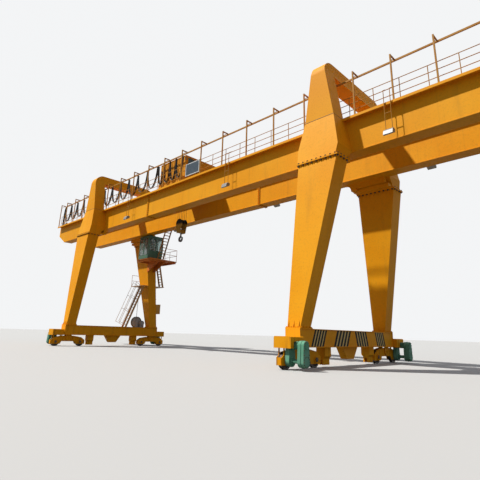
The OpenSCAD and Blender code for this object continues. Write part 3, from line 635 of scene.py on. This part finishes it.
class CRANE_OT_finishes(bpy.types.Operator):
    """Give every CAD node its finish"""

    bl_idname = "crane.finishes"
    bl_label = "Paint the crane"

    def execute(self, context):
        table = {
            "girder paint": "girder_front girder_back",
            "frame paint": "yoke_near yoke_far knees_near knees_far leg_near_front leg_near_back "
                           "leg_far_front leg_far_back",
            "sill paint": "sill_near sill_far",
            "bogie paint": "bogie_near_front bogie_near_back bogie_far_front bogie_far_back "
                           "rail_clamps",
            "house paint": "machine_house trolley_frame",
            # Rails, cable track and lamp hangers take the rail paint, darkened with painted
            # shade.
            "shaded rail paint": "handrail_front handrail_back festoon_track lamp_hangers",
            "step paint": "stair_lower leg_landing stair_middle stair_upper",
            "platform paint": "cab_platform",
            "cab paint": "cab_shell",
            "window glass": "cab_glass",
            "drive paint": "travel_drives",
            "reel paint": "cable_reel reel_bracket",
            "box paint": "electric_box",
            "block paint": "hook_block",
            "rail steel": "trolley_rails",
            "clamp steel": "hook crown_sheaves",
            "lamp case": "floodlights",
            "sign slate": "capacity_sign",
            "cable sheath": "festoon_cable",
            "wire rope": "hoist_ropes",
        }
        finish = {n: f for f, names in table.items() for n in names.split()}
        for name, obj in NODES.items():
            clothe(obj, finish.get(name, "wheel steel"))
        # The block's sheaves and the cheeks round them are darkened towards the top.
        top = max(corner[2] for corner in NODES["hook_block"].bound_box)
        darken_by_height(finish_of("block paint"), top - 0.46, top - 0.32, (0.018, 0.017, 0.015))
        return {"FINISHED"}


class CRANE_OT_hanging_cable(bpy.types.Operator):
    """Trolley cable: four strands in loops, with their carriers"""

    bl_idname = "crane.hanging_cable"
    bl_label = "Hang the trolley cable"

    def execute(self, context):
        moving, clips = self.loops(CABLE_START, CABLE_END, CABLE_LOOPS)
        cable = gather(moving, "hanging_cable", "cable sheath", None)
        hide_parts("festoon_cable")
        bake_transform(cable)
        held = gather(clips, "cable_carriers", "bolt steel", None)
        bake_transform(held)
        # The last loops stay bunched beside the machine house and travel with it.
        bunched, clips = self.loops(CABLE_END + 0.12, HOUSE_CABLE_END, HOUSE_LOOPS)
        gather(bunched, "bunched_cable", "cable sheath", "trolley")
        gather(clips, "bunched_carriers", "bolt steel", "trolley")
        lo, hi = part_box("machine_house")
        x, top = HOUSE_CABLE_END, CABLE_TOP
        clamp = [
            plate((x - 0.05, lo.y - 0.012, top - 0.16), (x + 0.05, lo.y + 0.02, top + 0.06)),
            plate((x - 0.02, CABLE_Y + 0.03, top + 0.032), (x + 0.02, lo.y - 0.01, top + 0.056)),
        ]
        gather(clamp, "cable_clamp", "bolt steel", "trolley")
        # From the first carrier the cable drops round the girder's end.
        drop = ((0, top - 0.01), (0.10, top - 0.12), (0.19, top - 0.6), (0.21, 11.4),
                (0.21, 10.66), (0.19, 10.58), (0.13, 10.55))
        lead = []
        for side in STRANDS:
            route = [(CABLE_START - out, CABLE_Y + side, z) for out, z in drop]
            lead.append(tube_along(route, sizes().cable_d / 2))
        gather(lead, "lead_cable", "cable sheath", "crane")
        return {"FINISHED"}

    def loops(self, x0, x1, count):
        """Four strands hung in loops from x0 to x1, and the carriers that hold them."""
        pitch = (x1 - x0) / count
        steps = 18
        strands, carriers = [], []
        for side in STRANDS:
            # The first and third strands hang a little lower than the others.
            sag = CABLE_DROP * (1.0 if side in (STRANDS[0], STRANDS[2]) else 0.985)
            route = []
            for k in range(count * steps + 1):
                t = (k % steps) / steps
                x = x0 + (k / steps - 0.05 * math.sin(2 * math.pi * t)) * pitch
                drop = sag * max(0, math.sin(math.pi * t)) ** 0.75
                route.append((x, CABLE_Y + side, CABLE_TOP - drop))
            strands.append(tube_along(route, sizes().cable_d / 2))
        for i in range(count + 1):
            x = x0 + i * pitch
            for half_x, half_y, low, high, edge, cuts in (
                (0.04, 0.085, -0.03, 0.018, 0.008, 2), (0.012, 0.030, 0.016, 0.088, 0.004, 1)
            ):
                lo = (x - half_x, CABLE_Y - half_y, CABLE_TOP + low)
                hi = (x + half_x, CABLE_Y + half_y, CABLE_TOP + high)
                carriers.append(plate(lo, hi, edge, cuts))
        return strands, carriers


class CRANE_OT_hoist_ropes(bpy.types.Operator):
    """Hoist ropes between the fixed sheaves and the block"""

    bl_idname = "crane.hoist_ropes"
    bl_label = "Reeve the hoist ropes"

    def execute(self, context):
        lo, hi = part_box("hoist_ropes")
        offset = (hi.x - lo.x - 0.02) / 2
        steps = 24
        levels = [CROWN_Z + (BLOCK_Z - CROWN_Z) * k / steps for k in range(steps + 1)]
        falls = []
        for y in (-0.15, 0, 0.15):
            for x in (HOIST_X - offset, HOIST_X + offset):
                falls.append(tube_along([(x, y, z) for z in levels], sizes().rope_d / 2, 12))
        ropes = gather(falls, "hoist_rope_falls", "wire rope", None)
        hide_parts("hoist_ropes")
        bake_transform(ropes)
        return {"FINISHED"}


class CRANE_OT_bolts(bpy.types.Operator):
    """Bolts and ribs at the leg joints, leg feet and girder splices"""

    bl_idname = "crane.bolts"
    bl_label = "Bolt the frame together"

    def execute(self, context):
        s = sizes()
        over, under = JOINT_Z + JOINT_HALF, JOINT_Z - JOINT_HALF
        row_x = [LEG_IN + 0.04 + k * (LEG_OUT - LEG_IN - 0.1) / 8 for k in range(9)]
        bolt = hex_bolt(s.bolt_across, s.bolt_high)
        places = corners(self.joint_places(row_x, over, under))
        gather(copies(bolt, places), "frame_bolts", "bolt steel", "crane")
        places = []
        for x in (10.175, 10.315, 10.425, 10.575, 10.685, 10.825):
            places += [shift(x, 3.187, FOOT_TOP), shift(x, 3.94, FOOT_TOP)]
        for y in (3.3, 3.5, 3.7, 3.88):
            places += [shift(10.155, y, FOOT_TOP), shift(10.845, y, FOOT_TOP)]
        bolts = copies(hex_bolt(0.05, 0.034), corners(places))
        gather(bolts, "foot_bolts", "bogie paint", "crane")
        # A black band round the joint between each yoke foot and the block below it: the joint,
        # with painted shade of its gap.
        low, high = GIRDER_TOP - 0.008, GIRDER_TOP + 0.007
        spans = ((10.492, 2.0, 12.008, 2.008), (10.492, 2.862, 12.008, 2.87),
                 (10.488, 2.0, 10.496, 2.87), (12.004, 2.0, 12.012, 2.87))
        joint_gap_shade = repeated(plate((a, b, low), (c, d, high), 0.001) for a, b, c, d in spans)
        gather(joint_gap_shade, "yoke_seam_shade", "tyre black", "crane")
        # Short ribs under the joint flange, between the bolts.
        ribs = []
        for a, b in zip(row_x, row_x[1:]):
            x = (a + b) / 2
            ribs.append(self.rib(x, 3.12, 3.212, under, -0.05))
            ribs.append(self.rib(x, 2.226, 2.33, under, 0.05))
        gather(repeated(ribs), "joint_ribs", "frame paint", "crane")
        bolts = copies(hex_bolt(0.036, 0.022), self.splice_places())
        gather(bolts, "splice_bolts", "bolt steel", "crane")
        return {"FINISHED"}

    def joint_places(self, row_x, over, under):
        """Bolts above and below the joint flange at a leg's top."""
        flip = Matrix.Rotation(math.pi, 4, "X")
        places = []
        for x in row_x:
            places += [shift(x, 3.188, over), shift(x, 3.192, under) @ flip,
                       shift(x, 2.246, under) @ flip]
        out, into = LEG_OUT + 0.036, LEG_IN - 0.036
        for y in (2.37, 2.62, 2.87, 3.12):
            places += [shift(out, y, over), shift(out, y, under) @ flip,
                       shift(into, y, under) @ flip]
        return places

    def splice_places(self):
        """Bolts along both flanges of each girder splice."""
        rows = [(y, 9.2 + k * 0.16) for y in (WEB_OUT + 0.028, WEB_IN - 0.028) for k in range(9)]
        rows += [(y, 9.07) for y in (1.26, 1.4, 1.54, 1.68, 1.8)]
        places = []
        for side in (-1, 1):
            for y, z in rows:
                for way in (1, -1):
                    turn = Matrix.Rotation(way * math.pi / 2, 4, "Y")
                    places.append(shift(side * SPLICE_X + way * 0.07, side * y, z) @ turn)
        return places

    def rib(self, x, y0, y1, top, cut):
        """A plate whose lower outer corner is cut off."""
        obj = plate((x - 0.006, y0, top - 0.20), (x + 0.008, y1, top), 0)
        outer = y1 if cut < 0 else y0
        low = top - 0.20 + 0.001
        edit_some(obj, "VERT", lambda v: v.co.z < low and abs(v.co.y - outer) < 0.001)
        bpy.ops.transform.translate(value=(0, cut, 0))
        return done_editing()


class CRANE_OT_stripes(bpy.types.Operator):
    """Slanting warning stripes on the sill beams' outer sides"""

    bl_idname = "crane.stripes"
    bl_label = "Paint the warning stripes"

    def execute(self, context):
        bars = 5
        black, pale = [], []
        # Each group's start and end along the sill, and how far its bars lean.
        for start, end, lean in ((-3.21, -2.33, 0.28), (-1.57, -0.42, 0.30),
                                 (0.40, 1.44, -0.19), (2.30, 3.17, -0.19)):
            pitch = (end - start) / (bars - 0.4)
            for k in range(bars):
                y = start + k * pitch
                black.append(self.bar(y, y + 0.6 * pitch, lean))
                if k < bars - 1:
                    pale.append(self.bar(y + 0.6 * pitch, y + pitch, lean))
        gather(repeated(black, ENDS), "warning_stripes", "stripe paint", "crane")
        gather(repeated(pale, ENDS), "pale_stripes", "stripe cream", "crane")
        return {"FINISHED"}

    def bar(self, y0, y1, lean):
        """One painted bar whose top is carried sideways."""
        margin = sizes().stripe_gap
        low, high = SILL_BOTTOM + margin, SILL_TOP - margin
        face = SILL_X + SILL_HALF
        obj = plate((face, y0, low), (face + 0.0015, y1, high), 0)
        edit_some(obj, "VERT", lambda v: v.co.z > high - 0.001)
        bpy.ops.transform.translate(value=(0, lean, 0))
        return done_editing()


class CRANE_OT_sign(bpy.types.Operator):
    """White border and fixing straps of the bare sign"""

    bl_idname = "crane.sign"
    bl_label = "Frame the sign"

    def execute(self, context):
        lo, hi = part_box("capacity_sign")
        m, wide = 0.012, 0.05
        face = (lo.y - 0.004, lo.y + 0.001)
        border = rim((lo.x + m, hi.x - m), (lo.z + m, hi.z - m), face, "Y", 0, wide, 0.001)
        gather(border, "sign_border", "sign white", "crane")
        straps = []
        for x in (lo.x + 0.2, hi.x - 0.2):
            for low, high in ((lo.z - 0.01, lo.z + 0.05), (hi.z - 0.05, hi.z + 0.01)):
                straps.append(
                    plate((x - 0.02, lo.y - 0.006, low), (x + 0.02, hi.y + 0.002, high), 0.002))
        gather(straps, "sign_straps", "bolt steel", "crane")
        return {"FINISHED"}


class CRANE_OT_house(bpy.types.Operator):
    """Window, slats and roof ribs of the machine house"""

    bl_idname = "crane.house"
    bl_label = "Fit out the machine house"

    def execute(self, context):
        lo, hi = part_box("machine_house")

        def in_wall(x0, x1, y0, y1, down0, down1, edge):
            """A block in the near wall, measured from the wall, its front edge and the roof."""
            return plate((hi.x + x0, lo.y + y0, hi.z - down0),
                         (hi.x + x1, lo.y + y1, hi.z - down1), edge)

        pane = in_wall(-0.066, -0.048, 0.262, 0.908, 0.618, 0.162, 0.004)
        gather([pane], "house_window", "dark glass", "trolley")
        bars = [in_wall(-0.062, -0.008, *span, 0.004) for span in (
            (0.235, 0.935, 0.65, 0.62), (0.235, 0.935, 0.16, 0.13),
            (0.235, 0.262, 0.62, 0.16), (0.908, 0.935, 0.62, 0.16))]
        bars.append(in_wall(-0.057, -0.022, 0.575, 0.595, 0.62, 0.16, 0.002))
        gather(bars, "house_window_frame", "cab paint", "trolley")
        slats = []
        for k in range(7):
            z = lo.z + 0.14 + k * 0.19
            # The upper slats stop beside the window.
            y0 = lo.y + 0.04 if z < hi.z - 0.72 else lo.y + 0.98
            for x0, x1, y in ((hi.x - 0.042, hi.x - 0.008, y0),
                              (lo.x + 0.008, lo.x + 0.042, lo.y + 0.04)):
                slats.append(plate((x0, y, z), (x1, hi.y - 0.04, z + 0.045), 0.006))
        gather(slats, "house_slats", "house paint", "trolley")
        roof = []
        for k in range(6):
            y = lo.y + 0.25 + k * (hi.y - lo.y - 0.5) / 5
            roof.append(plate((lo.x + 0.02, y - 0.018, hi.z - 0.004),
                              (hi.x - 0.02, y + 0.018, hi.z + 0.008)))
        gather(roof, "house_roof_edge", "frame paint", "trolley")
        return {"FINISHED"}


class CRANE_OT_cab(bpy.types.Operator):
    """Window rubbers, seat, console, roof rim and wiper of the operator's cab"""

    bl_idname = "crane.cab"
    bl_label = "Fit out the cab"

    def execute(self, context):
        lo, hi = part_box("cab_shell")
        high = hi.z - 0.2
        rubbers = []
        side_panes = self.panes(lo.x, (CAB_SIZE[0] - CAB_LEAN - 3 * MULLION) / 2)
        for wall in ((lo.y - 0.004, lo.y + 0.012), (hi.y - 0.012, hi.y + 0.004)):
            for pane in side_panes:
                rubbers += rim(pane, (lo.z + 0.336, high), wall, "Y", 0.006, 0.012)
        for pane in self.panes(lo.y, (CAB_SIZE[1] - 3 * MULLION) / 2):
            wall = (hi.x - 0.012, hi.x + 0.004)
            rubbers += rim(pane, (lo.z + 0.706, high), wall, "X", 0.006, 0.012)
        gather(rubbers, "window_rubbers", "tyre black", "crane")
        roof = plate((lo.x - 0.02, lo.y - 0.02, hi.z - 0.03),
                     (hi.x + 0.02, hi.y + 0.02, hi.z + 0.015), 0.012, 2)
        gather([roof], "cab_roof", "cab paint", "crane")
        cx, cy = lo.x + 0.55, (lo.y + hi.y) / 2
        floor = lo.z + 0.056

        def block(x0, x1, y, half, z0, z1, edge, cuts):
            """A rounded block on the cab's floor, placed from the seat's middle."""
            return plate((cx + x0, cy + y - half, floor + z0),
                         (cx + x1, cy + y + half, floor + z1), edge, cuts)

        seat = block(-0.24, 0.24, 0, 0.24, 0.40, 0.50, 0.04, 3)
        rest = block(-0.28, -0.17, 0, 0.22, 0.48, 1.08, 0.04, 3)
        gather([smooth(seat), smooth(rest)], "cab_seat", "seat cloth", "crane")
        boxes = [rounded_rod((cx, cy, floor + 0.2), 0.06, 0.42, edge=0.01)]
        for y in (-0.44, 0.44):
            boxes.append(block(0.02, 0.50, y, 0.09, 0, 0.66, 0.02, 2))
            boxes.append(rounded_rod((cx + 0.25, cy + y, floor + 0.74), 0.014, 0.16, edge=0.003))
            boxes.append(rounded_rod((cx + 0.25, cy + y, floor + 0.83), 0.028, 0.05, edge=0.01))
        gather(boxes, "cab_console", "lamp case", "crane")
        wiper = ((0.012, 0.2, 0.02), (0.016, 0.12, 0.4), (0.014, 0.05, 0.75))
        arm = tube_along([(hi.x + x, cy + y, high - z) for x, y, z in wiper], 0.006)
        grip = ((0.004, 0.85), (-0.05, 0.88), (-0.05, 1.12), (0.004, 1.15))
        handle = tube_along([(lo.x + 0.665, lo.y + y, lo.z + z) for y, z in grip], 0.011)
        gather([arm, handle], "cab_fittings", "bolt steel", "crane")
        return {"FINISHED"}

    def panes(self, wall, width):
        """Spans of two panes along a wall, with a mullion before each."""
        starts = [wall + MULLION + i * (width + MULLION) for i in (0, 1)]
        return [(a, a + width) for a in starts]


class CRANE_OT_drives(bpy.types.Operator):
    """Cooling fins, terminal boxes, outer gear housings and cover bolts of the travel drives"""

    bl_idname = "crane.drives"
    bl_label = "Detail the travel drives"

    def execute(self, context):
        x0 = SILL_X + FORK_HALF
        y = BOGIE_Y + HALF_BASE
        inner, outer = x0 + 0.555, x0 + 0.825
        green = []
        for k in range(16):
            fin = plate((x0 + 0.27, -0.004, 0.100), (x0 + 0.535, 0.004, 0.126), 0.001)
            green.append(round_shaft(fin, 2 * math.pi * k / 16, y, MOTOR_Z))
        green.append(plate((x0 + 0.36, y - 0.06, MOTOR_Z + 0.095),
                           (x0 + 0.50, y + 0.06, MOTOR_Z + 0.16), 0.012, 2))
        green.append(smooth(self.housing(inner, outer, y), 30))
        # Shaft and collar to the wheel, and the cap over the motor's end.
        for x, z, radius, depth, edge in (
            (0.375, WHEEL_Z, 0.075, 0.40, 0.008), (0.215, WHEEL_Z, 0.12, 0.06, 0.01),
            (0.835, MOTOR_Z, 0.115, 0.03, 0.012),
        ):
            green.append(rounded_rod((x0 + x, y, z), radius, depth, "X", 32, edge))
        # Parting rim round the middle of the housing.
        seam = arc(0.213, WHEEL_Z, range(-186, 7, 12)) + arc(0.173, HOUSING_Z, range(0, 181, 12))
        seam.append(seam[0])
        green.append(tube_along([(x0 + 0.69, y + a, z) for a, z in seam], 0.011, sides=8))
        gather(repeated(green), "motor_fins", "drive paint", "crane")
        spots = arc(0.178, WHEEL_Z, range(0, 360, 30)) + arc(0.143, HOUSING_Z, range(0, 181, 45))
        spots += [(s * 0.160, WHEEL_Z + rise) for rise in (0.24, 0.40) for s in (-1, 1)]
        turn = Matrix.Rotation(math.pi / 2, 4, "Y")
        places = corners([shift(outer, y + a, z) @ turn for a, z in spots])
        bolts = copies(hex_bolt(0.034, 0.022), places)
        gather(bolts, "gearbox_bolts", "bolt steel", "crane")
        # Every axle has a cap on the fork's face, apart from the driven one on its gear side.
        reach = FORK_HALF + 0.012
        caps = repeated(
            smooth(rounded_rod((SILL_X + a * reach, BOGIE_Y + b * HALF_BASE, WHEEL_Z),
                               0.085, 0.03, "X", 28, 0.012))
            for a, b in ((-1, 1), (-1, -1), (1, -1)))
        gather(caps, "axle_caps", "bolt steel", "crane")
        return {"FINISHED"}

    def housing(self, x0, x1, y):
        """A tall gear case: a drum whose upper half is carried up to the motor and drawn in."""
        obj = drum(((x0 + x1) / 2, y, WHEEL_Z), 0.205, x1 - x0, 48, "X")
        edit_some(obj, "VERT", lambda v: v.co.z > WHEEL_Z - 0.001)
        bpy.ops.transform.translate(value=(0, 0, HOUSING_RISE))
        bpy.ops.transform.resize(
            value=(1, 0.805, 0.805), center_override=(x0, y, WHEEL_Z + HOUSING_RISE))
        obj = done_editing()
        edit_some(obj, "FACE", lambda f: abs(f.normal.x) > FACING)
        bpy.ops.mesh.inset(thickness=0.014, depth=0.010)
        return done_editing()


class CRANE_OT_lamps(bpy.types.Operator):
    """Glass and bezels of the flood lights"""

    bl_idname = "crane.lamps"
    bl_label = "Finish the flood lights"

    def execute(self, context):
        glass, bezels = [], []
        strips = [(s * 0.188, 0, 0.010, 0.135) for s in (-1, 1)]
        strips += [(0, s * 0.128, 0.178, 0.010) for s in (-1, 1)]
        for x in LAMPS_X:
            for side in (-1, 1):
                # The glass lies on the sloping underside of the case.
                tilt = Matrix.Rotation(-side * LAMP_SLOPE, 4, "X")
                place = shift(0, side * (FLANGE_OUT + 0.088), LAMP_Z) @ tilt
                glass.append(self.sloping(place, x, 0, 0.18, 0.12, 0.006, 0.003))
                for u, v, half_u, half_v in strips:
                    bezels.append(self.sloping(place, x + u, v, half_u, half_v, 0.010, 0.002))
        gather(glass, "lamp_glass", "lamp glass", "crane")
        gather(bezels, "lamp_bezels", "lamp case", "crane")
        return {"FINISHED"}

    def sloping(self, place, u, v, half_u, half_v, half_thick, edge):
        """A plate about a point of the lamp's glass, laid on its slope."""
        lo = (u - half_u, v - half_v, -half_thick)
        part = plate(lo, (u + half_u, v + half_v, half_thick), edge)
        part.data.transform(place)
        return part


class CRANE_OT_reel(bpy.types.Operator):
    """Cable wound on the reel, spokes, black rims, gear case and conduit"""

    bl_idname = "crane.reel"
    bl_label = "Wind the cable reel"

    def execute(self, context):
        lo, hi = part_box("cable_reel")
        c = (lo + hi) / 2
        turns, layers = 6, 5
        coils = [
            ring((lo.x + 0.034 + k * 0.032, c.y, c.z), 0.242 + layer * 0.030, 0.015, 48)
            for layer in range(layers) for k in range(turns)
        ]
        wound = gather(coils, "wound_cable", "cable sheath", "reel")
        smooth(wound, 60)
        rims = [smooth(ring((x, c.y, c.z), 0.448, 0.012, 72), 60)
                for x in (lo.x - 0.002, hi.x + 0.002)]
        gather(rims, "reel_rims", "tyre black", "reel")
        spokes = []
        for k in range(8):
            for x0, x1 in ((lo.x - 0.008, lo.x + 0.001), (hi.x - 0.001, hi.x + 0.008)):
                bar = plate((x0, -0.014, 0.07), (x1, 0.014, 0.435), 0.002)
                spokes.append(round_shaft(bar, 2 * math.pi * k / 8, c.y, c.z))
        gather(spokes, "reel_spokes", "reel paint", "reel")
        centre = (-10.735, c.y + 0.35, 1.83)
        case = [smooth(rounded_rod(centre, radius, depth, "X", 36, edge))
                for radius, depth, edge in ((0.20, 0.20, 0.015), (0.215, 0.024, 0.004))]
        gather(case, "reel_gear_case", "reel paint", "crane")
        bends = ((-10.90, 2.02), (-10.90, 3.2), (-10.87, 3.8), (-10.80, 4.3), (-10.776, 4.5))
        pipe = tube_along([(x, c.y - 0.10, z) for x, z in bends], 0.018)
        gather([pipe], "reel_conduit", "lamp case", "crane")
        return {"FINISHED"}


class CRANE_OT_box_details(bpy.types.Operator):
    """Door, hinges, lock and conduits of the electric box"""

    bl_idname = "crane.box_details"
    bl_label = "Finish the electric box"

    def execute(self, context):
        lo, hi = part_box("electric_box")
        door = plate((lo.x + 0.02, hi.y - 0.002, lo.z + 0.02),
                     (hi.x - 0.02, hi.y + 0.014, hi.z - 0.02), 0.004, 2)
        hood = plate((lo.x - 0.02, hi.y - 0.20, hi.z),
                     (hi.x + 0.02, hi.y + 0.03, hi.z + 0.012), 0.004)
        gather([door, hood], "box_door", "box paint", "crane")
        bits = [rounded_rod((lo.x + 0.03, hi.y + 0.016, lo.z + z), 0.012, 0.08, edge=0.003)
                for z in (0.15, 0.65)]
        bits.append(rounded_rod((hi.x - 0.06, hi.y + 0.02, lo.z + 0.4), 0.02, 0.02, "Y"))
        gather(bits, "box_fittings", "bolt steel", "crane")
        pipes = []
        # Three pipes from the box to the leg's foot.
        for x in (lo.x + 0.05, lo.x + 0.11, lo.x + 0.17):
            route = [(x, lo.y + 0.12, lo.z + 0.005), (x, lo.y + 0.12, lo.z - 0.15)]
            route += [(x, leg_back(z) + 0.022, z) for z in (2.2, FOOT_TOP)]
            pipes.append(tube_along(route, 0.016))
        # Two risers in clips, up the leg's back.
        for x in (-SILL_X + 0.10, -SILL_X + 0.19):
            route = [(x, leg_back(z) + 0.028, z) for z in (FOOT_TOP, 5.0, 8.5)]
            pipes.append(tube_along(route, 0.028))
            for z in (2.1, 3.9, 5.4, 6.3, 7.7):
                y = leg_back(z)
                pipes.append(plate((x - 0.05, y - 0.01, z - 0.02),
                                   (x + 0.05, y + 0.06, z + 0.02), 0.004))
        gather(pipes, "box_conduits", "lamp case", "crane")
        return {"FINISHED"}


class CRANE_OT_stage(bpy.types.Operator):
    """Pale floor, soft light and the camera at the photograph's angle"""

    bl_idname = "crane.stage"
    bl_label = "Set the stage"

    def execute(self, context):
        scene = context.scene
        begin()
        bpy.ops.mesh.primitive_circle_add(
            vertices=96, radius=260, fill_type="NGON", location=(0, 0, 0))
        floor = settle()
        floor.name = "floor"
        m = bpy.data.materials.new("pale floor")
        m.use_nodes = True
        ground = m.node_tree.nodes["Principled BSDF"].inputs
        lit, seen = (0.10, 0.095, 0.085), (0.46, 0.46, 0.455)
        self.backdrop(m.node_tree, lit, seen, ground["Base Color"])
        ground["Roughness"].default_value = 0.9
        floor.data.materials.append(m)
        world = bpy.data.worlds.new("studio")
        world.use_nodes = True
        sky = world.node_tree.nodes["Background"].inputs
        lit, seen = (0.29, 0.31, 0.35), (0.90, 0.91, 0.92)
        self.backdrop(world.node_tree, lit, seen, sky["Color"])
        sky["Strength"].default_value = 1.0
        scene.world = world
        sun = bpy.data.objects.new("key light", bpy.data.lights.new("key light", "SUN"))
        sun.data.energy = 4.9
        sun.data.angle = math.radians(1.2)
        sun.data.color = (1.0, 0.97, 0.92)
        sun.rotation_euler = Vector(SUN_WAY).to_track_quat("-Z", "Y").to_euler()
        sun.location = (-30, -40, 60)
        scene.collection.objects.link(sun)
        camera = bpy.data.objects.new("camera", bpy.data.cameras.new("camera"))
        scene.collection.objects.link(camera)
        camera.matrix_world = self.camera_matrix()
        camera.data.sensor_width = SENSOR
        camera.data.lens = FOCAL / PICTURE * SENSOR
        camera.data.shift_y = RISE / PICTURE
        camera.data.clip_end = 1000
        camera.data.dof.use_dof = False
        scene.camera = camera
        scene.view_settings.view_transform = "Standard"
        return {"FINISHED"}

    def backdrop(self, tree, lit, seen, socket):
        """One colour that lights the crane, and a paler one for rays that show the backdrop."""
        light = tree.nodes.new("ShaderNodeLightPath").outputs
        rays = math_node(tree, "MAXIMUM", light["Is Camera Ray"], light["Is Glossy Ray"])
        rays = math_node(tree, "MAXIMUM", rays, light["Is Transmission Ray"])
        tree.links.new(mix(tree, rays, lit, seen), socket)

    def camera_matrix(self):
        """The camera's place and turn, with its small roll."""
        way = Vector(CAMERA_WAY).normalized()
        right = way.cross(Vector((0, 0, 1))).normalized()
        up = right.cross(way)
        x_axis = math.cos(CAMERA_ROLL) * right + math.sin(CAMERA_ROLL) * up
        y_axis = -math.sin(CAMERA_ROLL) * right + math.cos(CAMERA_ROLL) * up
        turn = Matrix((x_axis, y_axis, -way)).transposed().to_4x4()
        return Matrix.Translation(CAMERA_PLACE) @ turn


class CRANE_PT_panel(bpy.types.Panel):
    """Lists the crane's colours, sizes and building steps"""

    bl_label = "Gantry Crane"
    bl_space_type = "VIEW_3D"
    bl_region_type = "UI"
    bl_category = "Gantry Crane"

    def draw(self, context):
        for group in (context.scene.crane_paints, context.scene.crane_sizes):
            for name in group.__annotations__:
                self.layout.prop(group, name)
        for step in STEPS:
            self.layout.operator(step.bl_idname)


STEPS = (
    CRANE_OT_stage,
    CRANE_OT_finishes,
    CRANE_OT_hanging_cable,
    CRANE_OT_hoist_ropes,
    CRANE_OT_bolts,
    CRANE_OT_stripes,
    CRANE_OT_sign,
    CRANE_OT_house,
    CRANE_OT_cab,
    CRANE_OT_drives,
    CRANE_OT_lamps,
    CRANE_OT_reel,
    CRANE_OT_box_details,
)
CLASSES = (CranePaints, CraneSizes, *STEPS, CRANE_PT_panel)


def register():
    for c in CLASSES:
        bpy.utils.register_class(c)
    bpy.types.Scene.crane_paints = bpy.props.PointerProperty(type=CranePaints)
    bpy.types.Scene.crane_sizes = bpy.props.PointerProperty(type=CraneSizes)


def unregister():
    del bpy.types.Scene.crane_sizes
    del bpy.types.Scene.crane_paints
    for c in reversed(CLASSES):
        bpy.utils.unregister_class(c)


def main():
    register()
    for step in STEPS:
        group, name = step.bl_idname.split(".")
        getattr(getattr(bpy.ops, group), name)()
    begin()


if __name__ == "__main__":
    main()
